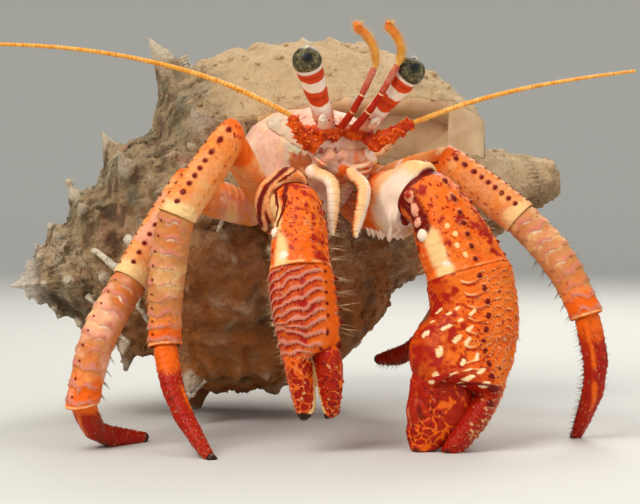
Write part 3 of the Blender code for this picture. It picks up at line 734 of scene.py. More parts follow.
class Relief(Marked):
    """Heights and marks on a form's fine rings."""

    def __init__(self, form, neck=NECK, lip=LIP, closed_tip=0.0, grain=GRAIN, flare=0.015, pinch=0.09,
                 cap=0.5, bare_neck=True):
        self.form = form
        length = form.length
        rows = int((length + neck + lip) / grain)
        s = np.linspace(-neck, length + (0 if closed_tip else lip), rows)
        scale = 1 - pinch * fall(s, -0.3, 0.9)
        if pinch:
            scale = scale * (1 - 0.16 * ease(-s, 0.05, 1.0))
        scale = scale * np.sqrt(np.clip(1 - ((s[0] + cap - s) / cap).clip(0, 1) ** 2, 0.002, 1))
        if closed_tip:
            x = ((s - (length - closed_tip)) / closed_tip).clip(0, 1)
            scale = scale * np.sqrt(np.clip(1 - x**2, 0.002, 1))
        else:
            scale = scale * (1 + flare * bell(s - length, 0.8))
            edge = s[-1]
            s = np.concatenate([s, [edge + step for step, _ in SOCKET]])
            scale = np.concatenate([scale, [scale[-1] * shrink for _, shrink in SOCKET]])
        mean_half = form.half.mean()
        self.spokes = max(24, int(2 * pi * mean_half / (grain * 1.25)) // 4 * 4)
        self.s = s[:, None]
        self.spots, self.out, angle, self.half = form.rings(s, self.spokes, scale)
        self.angle = angle[None, :]
        self.along = unit(np.gradient(self.spots.mean(1), axis=0))[:, None]
        self.height = np.zeros(self.half.shape)
        self.slide = np.zeros(self.half.shape)
        self.marks = {}
        self.in_socket = np.zeros(self.half.shape)
        self.fringe = np.zeros(self.half.shape)
        if not closed_tip:
            self.in_socket[-len(SOCKET) + 1 :] = 1
        self.open = ease(self.s, 0.1, 0.9) * (1 - self.in_socket)
        self.t = self.s / length
        if bare_neck:
            bare = 1 - ease(self.s, -0.1, 0.35) if pinch else 0
            self.mark(membrane=np.maximum(bare, self.in_socket))

    def girth(self, degrees):
        """Signed distance round the limb from the line at an angle, in millimetres."""
        turn = (self.angle - radians(degrees) + pi) % (2 * pi) - pi
        return turn * self.half.mean(1, keepdims=True)

    def band(self, degrees, width):
        """1 on the line along the limb at an angle, fading within this width."""
        return bell(self.girth(degrees), width)

    def studs(self, places, degrees, *look, **marks):
        """A row of studs of one look; the places and the angles may be arrays."""
        for s, turn in zip(*np.broadcast_arrays(places, degrees)):
            self.stud(s, turn, *look, **marks)

    def stud(self, s, degrees, radius, height, power, lean=0.0, stretch=1.0, **marks):
        """A granule or spine: where it stands, its size, its lean and what it marks."""
        rows = np.nonzero(np.abs(self.s[:, 0] - s) < radius * stretch * 1.1)[0]
        if not len(rows):
            return
        part = slice(rows[0], rows[-1] + 1)
        across = self.girth(degrees)[part]
        far = np.hypot((self.s[part] - s) / stretch, across) / radius
        shape = np.clip(1 - far, 0, 1) ** power * (1 - self.in_socket[part])
        self.height[part] = np.maximum(self.height[part], shape * height)
        self.slide[part] = np.maximum(self.slide[part], shape * height * lean)
        for name, (inner, strength) in marks.items():
            spot = ease(1 - far, 1 - inner, 1 - inner * 0.6) * strength
            if name not in self.marks:
                self.mark(**{name: 0})
            self.marks[name][part] = np.maximum(self.marks[name][part], spot)

    def scatter(self, count, low, high, angles, radius, height, seed, **marks):
        """Granules at random between two lengths and two angles."""
        dice = np.random.default_rng(seed)
        for _ in range(count):
            s, degrees, size = dice.uniform(low, high), dice.uniform(*angles), dice.uniform(0.6, 1.35)
            self.stud(s, degrees, radius * size, height * size, 1.2, 0.25, **marks)

    def scale_rows(self, pitch, depth, where, wave=0.3, lobe=1.4, seed=0, skew=0.0, band=0.62):
        """Scale rows across the limb: each rises along it and drops at its edge."""
        warp = lumps(self.spots, 2.4, seed) * 0.26 + lumps(self.spots, 0.9, seed + 5) * 0.14
        lobes = np.abs(np.sin(self.girth(180) * pi / lobe)) * wave
        place = (self.s + skew * self.girth(270) + lobes) / pitch + warp
        f = place - np.floor(place)
        rise = f**1.6 * fall(f, 0.93, 1.0)
        where = where * self.open
        self.height += rise * depth * where
        edge = ease(f, band, 0.86) * fall(f, 0.93, 1.0)
        self.fringe = np.maximum(self.fringe, bell(f - 0.88, 0.06) * where)
        groove = np.maximum(1 - ease(f, 0.0, 0.2), ease(f, 0.94, 1.0))
        return edge * where, groove * where

    def mottled_bumps_and_crease_shade(self, size, tall, seed, colour="flush", strength=0.5):
        """Close-set low bumps all over, with colour in the creases between them; red and dark colours there
        are partly mottling and partly painted shade in the creases.
        """
        value = self.rough(size, 2, seed) / 1.2
        self.height += (np.sqrt(np.abs(value)) - 0.5) * tall * self.open
        if strength:
            # Crease colour: partly the cuticle's mottling, partly painted shade where the creases lie low.
            self.mark(**{colour: bell(value, 0.16) * strength * self.open})

    def rim(self, tall=0.04, wide=0.26, teeth=5.0, pale=0.6):
        """The thickened far edge of a plate, worn pale, and a faint red line behind it that is a painted
        shadow line.
        """
        s, length = self.s, self.form.length
        outside = 1 - self.in_socket
        patchy = ease(self.rough(2.2, 2, 17), -0.5, 0.3)
        self.height += bell(s - (length - 0.1), wide) * outside * tall * (
            1 + 0.5 * np.sin(self.girth(0) * teeth) * patchy)
        self.mark(pale=bell(s - (length - 0.1), wide) * outside * pale * (0.45 + 0.55 * patchy))
        # A faint red line just behind the rim: painted shadow along the joint.
        self.mark(flush=bell(s - (length - 0.5 - wide), 0.2) * 0.5 * (0.3 + 0.7 * patchy))

    def mesh(self, name):
        rings = self.spots + self.out * self.height[..., None] + self.along * self.slide[..., None]
        return ring_mesh(name, rings, self.marks)


print("relief ready")

# %% [markdown]
# ## The walking legs
# Each leg has four flattened plates. Low cross rows with wavy violet edges lie on the
# long ones, dark red points line the upper edge, and each plate ends in a cream rim.
# The last plate is a red claw with a dark horny point.

# %% Leg plates
LEG_TINTS = {"leg_right2": 0.1, "leg_right3": 0.75, "leg_left2": 0.35, "leg_left3": 0.2}


def begin(name, **options):
    """A relief on a measured form, its lengths s, these as shares t, and its full length."""
    relief = Relief(forms[name], **options)
    return relief, relief.s, relief.t, relief.form.length


def finish_plate(name, relief, material, slot):
    """Make a plate's mesh, and keep its relief, where its bristles will stand."""
    settle(relief.mesh(f"{name}_plate"), material, slot, name)
    reliefs[name] = relief


def show_side(leg):
    return 270 if "left" in leg else 90


def leg_plate(leg, segment):
    """One plate of a walking leg; its show side is the one turned to the front."""
    name = f"{leg}_{segment}"
    last = segment == "dactyl"
    knee = segment == "carpus"
    neck, cap, pinch = (2.4, 2.2, 0.0) if knee else (NECK, 0.5, 0.045)
    closed_tip = {"merus": 1.6, "dactyl": 0.55}.get(segment, 0.0)
    relief, s, t, length = begin(name, neck=neck, cap=cap, pinch=pinch, closed_tip=closed_tip)
    mark, band = relief.mark, relief.band
    show = show_side(leg)
    inward = 1 if show == 90 else -1
    clouds = relief.rough(4.0, 3, len(leg))
    top = band(0, 2.6)
    face = band(show - 15 * inward, 3.4)
    mark(pink=LEG_TINTS[leg] * ease(clouds, -0.6, 0.5) * (not last))
    if segment == "merus":
        edge, _ = relief.scale_rows(1.5, 0.12, 0.4 + 0.6 * top, 0.25, 2.0, 3)
        mark(violet=edge * 0.45 * top, pale=ease(clouds, 0.1, 0.9) * 0.7)
        relief.mottled_bumps_and_crease_shade(1.2, 0.1, 31, "pink", 0.4)
        mark(white=ease(relief.rough(1.8, 2, 37), 0.25, 0.8) * face * 0.7)
        mark(orange=ease(t + 0.04 * clouds, 0.72, 0.95) * 0.85)
        mark(dark=band(show, 0.5) * bell(s - (length - 2.2), 1.4) * 0.8)
    elif segment == "carpus":
        edge, _ = relief.scale_rows(1.05, 0.15, 0.45 + 0.55 * top, 0.3, 1.2, 4)
        mark(orange=0.3 * ease(clouds, -0.2, 0.9) + fall(t, -0.05, 0.16) * 0.75, violet=edge * 0.34)
        mark(pale=ease(t + 0.05 * clouds, 0.8, 0.97) * 0.9 * face + 0.4 * ease(-clouds, -0.3, 0.6))
        relief.mottled_bumps_and_crease_shade(0.95, 0.13, 32, "flush", 0.38)
        place = length * np.linspace(0.08, 0.88, 9)
        spot = {"dark": (0.8, 0.85), "flush": (1.25, 0.5)}
        relief.studs(place, show - 42 * inward, 0.62, 0.42, 1.3, 0.5, **spot)
        relief.studs(place + 0.7, 6 * inward, 0.5, 0.4, 1.3, 0.5, dark=(0.7, 0.7))
        relief.studs(place + 0.3, show + 30 * inward, 0.42, 0.24, 1.3, 0.4, flush=(0.8, 0.6))
        high, around = rng.uniform(0, 1, (26, 2)).T
        relief.studs(-0.4 + 1.9 * high, 360 * around, 0.34, 0.12, 1.0, flush=(0.8, 0.8))
    elif segment == "propodus":
        shown = 0.22 + 0.78 * np.maximum(top, face)
        edge, groove = relief.scale_rows(length / 9.0, 0.3, shown, 0.5, 2.7, 5, band=0.36)
        broken = 0.55 + 0.45 * ease(relief.rough(1.5, 2, 36), -0.6, 0.4)
        mark(violet=edge * shown * 0.95 * broken, flush=edge * band(show, 1.2) * 0.3)
        mark(white=band(show - 20 * inward, 1.6) * groove * 0.7 * fall(t, 0.5, 0.8))
        mark(dark=groove * top * 0.5)
        mark(pale=ease(clouds, 0.0, 0.9) * 0.45 * fall(t, 0.6, 0.9) + groove * 0.22)
        mark(tan=0.62 * fall(t, 0.7, 1.0))
        mark(orange=0.42 * ease(-clouds, -0.4, 0.5) + 0.7 * ease(t, 0.75, 1.0))
        relief.mottled_bumps_and_crease_shade(0.9, 0.1, 33, "flush", 0.3)
        place = length * np.linspace(0.08, 0.92, 9)
        relief.studs(place, 25, 0.48, 0.34, 1.3, 0.6, dark=(0.6, 0.85))
        relief.studs(place + 0.7, 335, 0.4, 0.22, 1.3, 0.5, dark=(0.55, 0.6))
        relief.studs(place + 0.2, show, 0.34, 0.16, 1.3, 0.5, dark=(0.8, 0.55))
    else:
        _, groove = relief.scale_rows(1.2, 0.14, 0.4 + 0.6 * top, 0.4, 1.3, 6)
        mark(orange=0.8 - ease(t + clouds * 0.14, 0.05, 0.36))
        mark(orange=band(show, 0.55) * ease(clouds, -0.6, 0.3) * fall(t, 0.5, 0.9))
        mark(dark=groove * 0.45 + 0.5 * band(0, 0.7) * ease(clouds, -0.2, 0.5))
        furrow = band(60, 0.5) + band(300, 0.5)
        relief.height -= 0.14 * furrow * relief.open * (1 - t.clip(0, 1)) ** 0.5
        relief.mottled_bumps_and_crease_shade(0.8, 0.1, 34, "dark", 0.35)
        mark(horn=ease(s, length - 1.4, length - 0.7))
        relief.studs(length * np.linspace(0.12, 0.88, 13), 188, 0.36, 0.32, 1.2, 0.6, dark=(0.8, 0.9))
    if segment in ("carpus", "propodus"):
        relief.rim()
    finish_plate(name, relief, *((finger_cuticle, "red_finger") if last else (leg_cuticle, "leg_plate")))


reliefs = {}
for leg in LEG_NAMES:
    for segment in SEGMENTS:
        leg_plate(leg, segment)

# %% [markdown]
# ## The claws
# The left claw is the big one. Its hand bears a line of dark tubercles with a curved
# fold beside each, white dashes on the inner half and fine folds on the outer, and
# turns red below under a pale net. Wavy violet ridges cross the small right hand, with
# red spines along its margin. The fingers of each hand meet along toothed cream edges.

# %% Measure the claws
for side in SIDES:
    arm = [f"claw_{side}_{segment}" for segment in ("merus", "carpus", "palm")]
    measure_limb(arm, EAST)
    wrist = forms[arm[2]].line[0]
    finger = f"claw_{side}_dactyl"
    start = near_end(finger, wrist, 0.7)
    forms[finger] = Form(triangles(finger), start, tip_of(finger, start), EAST, (0.2, 0.95), harmonics=6)
print({n: round(float(forms[n].length), 1) for n in forms if n.startswith("claw")})


# %% Upper arms
def merus_plate(side):
    name = f"claw_{side}_merus"
    relief, s, t, length = begin(name, neck=0.0, closed_tip=1.5)
    mark, band = relief.mark, relief.band
    clouds = relief.rough(3.5, 3, 21)
    _, groove = relief.scale_rows(1.5, 0.08, 0.6, 0.3, 2.2, 8)
    relief.mottled_bumps_and_crease_shade(1.1, 0.1, 22, "pink", 0.3)
    if side == "left":
        face = band(150, 5.6)
        mark(orange=fall(t + 0.07 * clouds, 0.42, 0.72) * (0.8 + 0.2 * clouds))
        mark(flush=fall(t, 0.25, 0.55) * 0.5 * ease(clouds, -0.2, 0.5))
        mark(white=ease(t + 0.07 * clouds, 0.46, 0.8) * ease(face, 0.1, 0.6))
        mark(pink=0.42 * ease(clouds, 0.0, 0.8) + groove * 0.4)
        k = np.arange(10)
        place = length * (0.34 + 0.64 * k / 9)
        marks = {"white": (1.2, 1.0)}
        relief.studs(place, 104 + 5 * np.sin(3.0 * k), 0.6, 1.45, 1.05, 0.25, **marks)
        relief.studs(place + 0.6, 86 + 3 * np.sin(2.0 * k), 0.45, 0.7, 1.2, 0.3, **marks)
    else:
        relief.height += 2.3 * band(185, 4.5) * ease(t, 0.45, 0.85)
        mark(orange=0.55 * ease(clouds, -0.4, 0.8) * (1 - 0.6 * ease(t, 0.5, 0.8)))
        mark(pale=0.5 * ease(-clouds, 0.0, 0.8))
        slant = (relief.spots - relief.spots[-1].mean(0)) @ np.array([0.9, 0.0, -0.43])
        mark(orange=0.52 * ease(t, 0.4, 0.7))
        for shift, wide in ((-2.9, 0.48), (-1.7, 0.24), (0.9, 0.3)):
            mark(membrane=bell(slant - shift + 0.35 * clouds, wide) * ease(t, 0.52, 0.8) * 1.1)
        relief.studs(length * np.linspace(0.4, 0.9, 6), 100, 0.4, 0.4, 1.2, 0.4, white=(1.0, 0.8))
    relief.scatter(60, 1, length - 1.5, (60, 240), 0.28, 0.1, 31, pale=(0.8, 0.7))
    if side == "left":
        collar = bell(s - (length - 1.3), 0.35)
        relief.height += collar * 0.3
        mark(pale=collar, membrane=ease(s, length - 1.0, length - 0.7))
    finish_plate(name, relief, pale_cuticle, "pale_plate")


def carpus_plate(side):
    name = f"claw_{side}_carpus"
    relief, s, t, length = begin(name, neck=2.2, cap=2.0, pinch=0.0, flare=0.05)
    mark, band = relief.mark, relief.band
    clouds = relief.rough(2.8, 3, 23)
    small = relief.rough(1.3, 2, 24)
    relief.scale_rows(1.15, 0.15, 0.8, 0.4, 1.5, 9)
    relief.mottled_bumps_and_crease_shade(0.85, 0.17, 25, "flush", 0.3)
    mark(flush=ease(small + 0.5 * clouds, 0.0, 1.0) * 0.85, pale=ease(-small, 0.45, 1.0) * 0.35)
    mark(membrane=1 - ease(s + 0.25 * clouds, -0.2, 0.7))
    red = {"dark": (0.62, 1.0), "pale": (1.25, 0.3)}
    k = np.arange(7)
    if side == "left":
        mark(pale=band(226, 1.7) * ease(t, 0.3, 0.55) * 1.05 - 0.25 * ease(small, 0.2, 0.8))
        mark(white=band(232, 0.8) * bell(s - (length - 1.6), 0.6))
        fold = bell(relief.girth(208) + 0.5 * small, 1.9) * fall(t, 0.42, 0.58)
        mark(membrane=fold * 1.4)
        relief.height -= 0.25 * fold * relief.open
        relief.studs(length * (0.06 + 0.12 * k[:3]), 217 - 4 * k[:3], 0.95, 0.8, 0.6, pink=(1.1, 1.0))
        relief.stud(length * 0.46, 210, 1.0, 0.75, 0.5, white=(1.2, 1.0))
        pale_spots = np.maximum(relief.marks["pink"], relief.marks["white"])
        relief.studs(length * (0.14 + 0.13 * k), 300 - 3 * k, 0.85, 0.95, 1.3, 0.45, **red)
        relief.studs(length * (0.2 + 0.12 * k), 335 + 2 * k, 0.65, 0.6, 1.3, 0.45, **red)
        relief.studs(length * (0.16 + 0.12 * k), 8 + 3 * k, 0.55, 0.45, 1.3, 0.45, **red)
        k = k[:4]
        relief.studs(length * (0.5 + 0.12 * k), 262 + 7 * k % 13, 0.46, 0.2, 1.1, pale=(1.2, 0.9))
    else:
        mark(pale=band(226, 1.4) * ease(t + 0.1 * small, 0.5, 0.85))
        mark(white=band(232, 0.9) * bell(s - (length - 1.3), 0.7))
        slope = relief.girth(222) + 0.45 * s
        for shift, strong in ((0.2, 1.4), (2.0, 1.1)):
            mark(membrane=bell(slope - shift + 0.3 * small, 0.42) * fall(t, 0.45, 0.62) * strong)
        relief.stud(length * 0.55, 204, 0.8, 0.6, 0.5, white=(1.2, 1.0))
        mark(pale=0.7 * ease(-relief.girth(270), 2.0, 3.6) * fall(t, 0.5, 0.8))
        pale_spots = relief.marks["white"]
        relief.studs(length * (0.16 + 0.125 * k), 342, 0.62, 0.75, 1.2, 0.4, **red)
        relief.studs(length * (0.22 + 0.12 * k), 12, 0.55, 0.6, 1.2, 0.4, **red)
    relief.marks["membrane"] *= 1 - ease(pale_spots, 0.2, 0.7)
    granule = {"flush": (0.9, 0.8)}
    relief.scatter(150, 1.0, length - 1.4, (190, 350), 0.26, 0.11, 33, **granule)
    relief.scatter(60, 1.0, length - 1.4, (-10, 190), 0.3, 0.14, 34, **granule)
    relief.rim(0.08, 0.3)
    finish_plate(name, relief, claw_cuticle, "orange_plate")


for side in SIDES:
    merus_plate(side)
    carpus_plate(side)
print("arms built")


# %% The large hand
def pale_net(relief, size, seed):
    """A net of thin lines between rounded islands, from 0 inside them to 1 on a line."""
    spots = relief.spots.reshape(-1, 3)
    dice = np.random.default_rng(seed)
    count = int(len(spots) * 1.25 * GRAIN**2 / size**2)
    centres = spots[dice.choice(len(spots), count, replace=False)]
    warp = spots + 0.35 * rough(spots, 1.2, 2, seed)[:, None]
    away = np.linalg.norm(warp[:, None] - centres[None], axis=2)
    nearest = np.sort(away, axis=1)
    line = 1 - ease(nearest[:, 1] - nearest[:, 0], 0.05, 0.3)
    line = line.reshape(relief.height.shape)
    return line * (0.45 + 0.55 * ease(relief.rough(2.6, 2, seed + 1), -0.6, 0.3))


def finger_teeth(relief, degrees, start, count, tall):
    """The row of rounded cream teeth along a finger's cutting edge."""
    length = relief.form.length
    for k in range(count):
        place = start + (length - 1.2 - start) * k / (count - 1)
        size = tall * (1.0 if k % 3 == 1 else 0.72)
        relief.stud(place, degrees, 0.95, size, 0.75, pale=(1.3, 1.0))
    edge = relief.band(degrees, 0.9) * ease(relief.s, start - 1.5, start)
    relief.mark(pale=edge * 0.8)


def finger_end(relief, horn_from, horn_full, horn, pale_from=None):
    """A worn dark point; on the large hand the pale marks fade before it."""
    s, length = relief.s, relief.form.length
    if pale_from:
        relief.marks["pale"] *= 1 - 0.85 * ease(s, length - pale_from, length - pale_from / 2)
    relief.mark(horn=ease(s, length - horn_from, length - horn_full) * horn)


def big_palm():
    name = "claw_left_palm"
    relief, s, _, length = begin(name, neck=1.6, closed_tip=2.6, pinch=0.05)
    mark, band = relief.mark, relief.band
    clouds = relief.rough(3.2, 3, 41)
    small = relief.rough(1.25, 2, 42)
    hinge = length * 0.6
    outer = ease(np.cos(relief.angle - radians(345)), -0.15, 0.55) * np.ones(s.shape)
    edge, groove = relief.scale_rows(1.05, 0.3, 0.12 + 0.88 * outer, 0.45, 1.9, 11, 0.42)
    relief.mottled_bumps_and_crease_shade(0.95, 0.2, 48, "flush", 0.22)
    red = ease(s + 1.6 * clouds - 0.62 * relief.girth(262), hinge - 4.6, hinge + 0.6)
    inner = ease(-relief.girth(262), 0.5, 4.5) * 0.52
    mark(flush=np.maximum(red, inner + 0.75 * ease(small + 0.4 * clouds, -0.1, 0.9) * (1 - outer)))
    mark(pale=edge * 0.5 * outer, flush=groove * 0.95 * outer)
    net = pale_net(relief, 1.9, 5) * ease(s, hinge - 0.5, hinge + 1.0)
    mark(orange=net, pale=net * 0.22)
    relief.marks["flush"] *= 1 - 0.85 * net
    relief.height += (0.12 - net * 0.16) * relief.open * ease(s, hinge, hinge + 1.0)
    knuckle = ease(s, hinge - 14.0, hinge - 3.0) * fall(s, hinge - 0.6, hinge + 1.4)
    relief.height += 4.7 * band(186, 4.6) * knuckle
    mark(flush=0.85 * band(186, 6.0) * ease(s + clouds, hinge - 8.0, hinge - 3.0))
    for k in range(11):
        place = 1.5 + (hinge + 0.6) * k / 10
        degrees = 283 + 7 * sin(0.62 * k)
        relief.stud(place, degrees, 0.8, 0.7, 1.3, 0.45, dark=(0.72, 1.0))
        for j in range(1, 10 if place <= hinge - 2 else 1):
            along = place + 0.35 + 0.42 * sin(j * 0.36)
            relief.stud(along, degrees - 3.6 * j, 0.36, 0.32, 0.9, pale=(0.8, 0.5 if j > 4 else 0.3))
            # A flat red spot just past each fold bead: painted shade below the fold.
            relief.stud(along + 0.4, degrees - 3.6 * j, 0.3, 0.0, 0.9, flush=(1.1, 0.6))
        if k % 2:
            relief.stud(place + 0.9, degrees + 24, 0.5, 0.38, 1.3, 0.4, dark=(0.6, 0.9))
            relief.stud(place + 0.2, degrees + 52, 0.44, 0.3, 1.3, 0.4, dark=(0.6, 0.8))
    dice = np.random.default_rng(49)
    for row, column in itertools.product(range(6), range(4)):
        place = 5.6 + row * 2.35 + 0.9 * (column % 2) + dice.uniform(-0.35, 0.35)
        degrees = 210 + column * 17 + dice.uniform(-4, 4)
        steps = 4 if (row + 2 * column) % 3 == 0 or column == 3 else 2
        step = np.arange(steps) - steps / 2
        pale = {"pale": (1.25, 1.0), "white": (0.7, 0.7)}
        relief.studs(place - step * 0.18, degrees + step * 2.3, 0.3, 0.24, 0.8, **pale)
    relief.scatter(260, 4, hinge, (190, 280), 0.28, 0.16, 43, flush=(0.9, 0.7))
    relief.scatter(80, 1, length - 3, (290, 400), 0.24, 0.14, 44, pale=(0.9, 0.5))
    relief.scatter(90, hinge, length - 2, (0, 360), 0.36, 0.22, 45, pale=(0.8, 0.5))
    relief.scatter(120, 2, length - 2, (20, 190), 0.32, 0.16, 46, flush=(0.9, 0.7))
    arc = bell(s - (hinge - 0.4 + 0.08 * relief.girth(240) ** 2), 0.3)
    mark(dark=arc * band(240, 4.0) * 0.9)
    relief.height += 1.2 * band(182, 2.2) * ease(s, hinge, hinge + 2) * fall(s, length - 5, length)
    finger_teeth(relief, 182, hinge + 2.2, 7, 0.42)
    finger_end(relief, 0.6, 0.2, 0.6, 5.0)
    finish_plate(name, relief, claw_cuticle, "orange_plate")


def big_finger():
    name = "claw_left_dactyl"
    relief, _, t, length = begin(name, neck=3.4, closed_tip=3.2, pinch=0.0, cap=5.0, bare_neck=False)
    clouds = relief.rough(2.2, 3, 51)
    net = pale_net(relief, 1.8, 9)
    relief.mark(orange=net, pale=net * 0.26)
    relief.mottled_bumps_and_crease_shade(1.0, 0.22, 52, "dark", 0.3)
    relief.height += 0.14 - net * 0.16 + 0.12 * clouds
    relief.scatter(70, 0.4, length - 1, (0, 360), 0.36, 0.24, 55, pale=(0.7, 0.4))
    relief.scatter(60, 0.4, length - 1, (180, 300), 0.42, 0.28, 56, dark=(0.7, 0.7))
    relief.height += 1.3 * relief.band(358, 2.2) * fall(t, 0.4, 0.9)
    finger_teeth(relief, 358, 2.2, 6, 0.4)
    finger_end(relief, 0.6, 0.2, 0.6, 5.0)
    finish_plate(name, relief, finger_cuticle, "red_finger")


big_palm()
big_finger()
print("large hand built")


# %% The small hand
def small_palm():
    name = "claw_right_palm"
    relief, s, _, length = begin(name, neck=1.5, closed_tip=1.9, pinch=0.05)
    mark, band = relief.mark, relief.band
    hinge = length * 0.56
    clouds = relief.rough(2.8, 3, 61)
    small = relief.rough(1.1, 2, 62)
    margin = band(340, 2.3) * ease(hinge + 1.0 - s, 0, 2.0)
    shown = (1 - 0.85 * ease(margin, 0.35, 0.8)) * fall(s, hinge, hinge + 1.5)
    edge, groove = relief.scale_rows(1.3, 0.42, shown, 0.38, 3.4, 13, 0.24, band=0.4)
    relief.mottled_bumps_and_crease_shade(0.85, 0.12, 66, "flush", 0.25)
    mark(violet=edge * shown * 0.85, pink=edge * shown)
    mark(flush=(0.52 + 0.48 * np.maximum(groove * shown, ease(small, 0.1, 0.9))) * (1 - margin))
    mark(dark=groove * shown * 0.22, orange=margin * 0.8)
    mark(flush=ease(s + clouds, hinge - 0.5, hinge + 2.0) * 0.9)
    k = np.arange(9)
    place = 1.2 + (hinge - 0.4) * k / 8
    red = {"dark": (0.7, 1.0)}
    relief.studs(place, 322 - k, 0.52, 0.52, 1.2, 0.4, **red)
    relief.studs(place + 0.6, 352, 0.62, 1.15, 1.2, 0.4, **red)
    relief.studs(place + 0.2, 22, 0.45, 0.55, 1.2, 0.4, **red)
    k = np.arange(5)
    pale = {"pink": (1.1, 1.0)}
    relief.studs(1.0 + 1.25 * k, 206 + 4 * k, 0.36, 0.24, 0.8, 0, 1.5, **pale)
    relief.studs(1.5 + 1.25 * k, 218 + 4 * k, 0.3, 0.2, 0.8, 0, 1.3, **pale)
    relief.scatter(60, hinge, length - 1, (0, 360), 0.3, 0.2, 63, dark=(0.7, 0.8))
    relief.scatter(26, hinge, length - 1, (150, 300), 0.3, 0.2, 64, pale=(0.9, 0.55))
    net = pale_net(relief, 1.3, 67) * ease(s, hinge - 0.8, hinge + 1.0)
    mark(orange=net, pale=net * 0.3)
    relief.marks["flush"] *= 1 - 0.7 * net
    rise = ease(s, hinge + 0.5, hinge + 2) * fall(s, length - 3, length)
    relief.height += 0.6 * band(358, 1.4) * rise
    finger_teeth(relief, 358, hinge + 1.2, 7, 0.4)
    finger_end(relief, 1.2, 0.7, 1.0)
    finish_plate(name, relief, claw_cuticle, "orange_plate")


def small_finger():
    name = "claw_right_dactyl"
    relief, _, t, length = begin(name, neck=2.4, closed_tip=1.8, pinch=0.0, cap=3.0, bare_neck=False)
    clouds = relief.rough(2.0, 3, 71)
    net = pale_net(relief, 1.3, 77)
    relief.mark(orange=np.maximum(net, ease(clouds, 0.0, 0.7)) * 0.8, pale=net * 0.35)
    relief.mottled_bumps_and_crease_shade(0.8, 0.18, 72, "dark", 0.3)
    relief.height += 0.5 * relief.band(182, 1.4) * fall(t, 0.4, 0.9)
    relief.scatter(90, 0.4, length - 0.8, (0, 360), 0.34, 0.28, 75, dark=(0.7, 0.85))
    relief.scatter(34, 0.4, length - 0.8, (200, 330), 0.26, 0.16, 76, pale=(0.8, 0.5))
    finger_teeth(relief, 182, 1.4, 7, 0.4)
    finger_end(relief, 0.8, 0.3, 0.8)
    finish_plate(name, relief, finger_cuticle, "red_finger")


small_palm()
small_finger()
print("small hand built")

# %% [markdown]
# ## The shell
# A murex shell is one tube that winds round an axis and swells by the same share each
# turn, with seven thick spiny ribs a turn. Such a rule suits Geometry Nodes: a grid
# holds the turn one way and the length the other, and sums over the whorls set every
# point's distance from the axis. Age adds worn cords, lumps, pits and crusts.

# %% Trees that make a mesh
def grow(name, build, values, material, host_mesh=None):
    """Build a Geometry Nodes tree, run it once, and keep its result as a plain mesh."""
    tree = bpy.data.node_groups.new(name, "GeometryNodeTree")
    for way in ("OUTPUT", "INPUT"):
        tree.interface.new_socket("Geometry", in_out=way, socket_type="NodeSocketGeometry")
    sockets = {}
    for key in values:
        sockets[key] = tree.interface.new_socket(key, in_out="INPUT", socket_type="NodeSocketFloat")
    entry = tree.nodes.new("NodeGroupInput")
    start = Wire(tree)
    wires = {key: Wire(tree, entry.outputs[key]) for key in ["Geometry", *values]}
    shape = build(start, wires)
    shape = start.node("GeometryNodeRealizeInstances", {0: shape})
    shape = start.node("GeometryNodeSetMaterial", {"Geometry": shape, "Material": material})
    leave = tree.nodes.new("NodeGroupOutput")
    tree.links.new(shape.socket, leave.inputs[0])
    host = place_object(name, host_mesh or bpy.data.meshes.new(name))
    modifier = host.modifiers.new(name, "NODES")
    modifier.node_group = tree
    for key, value in values.items():
        modifier[sockets[key].identifier] = value
    mesh = modified_mesh(host)
    bpy.data.objects.remove(host)
    return place_object(name, mesh)


# %% The shell's measures
GROWTH = 1.57
WHORLS = 6
LIP_TURN = 42.0
TUBE_ALONG = 0.545
TUBE_OUT = 0.2
TUBE_DEEP = 0.14
TUBE_BACK = 0.23
TUBE_AHEAD = 0.31
BACK_POWER = 2.4
AHEAD_POWER = 1.75
CANAL_START = 0.62
CANAL_ROOT = 0.15
CANAL_TIP = 0.032
APEX_SPAN = 0.1
APEX_SLOPE = 0.45
APEX_CROWDING = 1.12
RIBS = 7
HORN_RIB = 1.0
FOOT_RIB = 4.0
SPINE_WIDE = 4.4
CORD_PITCH = 0.062
KNOB_SIZE = 4.2
SINK_POWER = 2.2
SHOULDER = 0.74
LOWER_ROW = 0.3
SHELL_WALL = 1.9
CAVITY_TURN = 34.0
LIP_WALL = 0.8
LIP_CLEAR = 2.5
LIP_ROUND = 52.0
LIP_DROP = 0.23
LINED_FROM = 0.46
SHELL_COLUMNS = 440
SHELL_ROWS = 176

shell_spots = points_of("shell")
right_most = shell_spots[np.argmin(shell_spots[:, 0])]
canal_end = tip_of("shell", right_most)
apex = tip_of("shell", canal_end)
SHELL_LENGTH = float(np.linalg.norm(canal_end - apex))
shell_axis = unit(canal_end - apex)
shell_up = unit(UP - shell_axis * shell_axis[2])
shell_front = np.cross(shell_axis, shell_up)
print(f"shell {SHELL_LENGTH:.1f} mm from apex {np.round(apex, 1)} to canal {np.round(canal_end, 1)}")


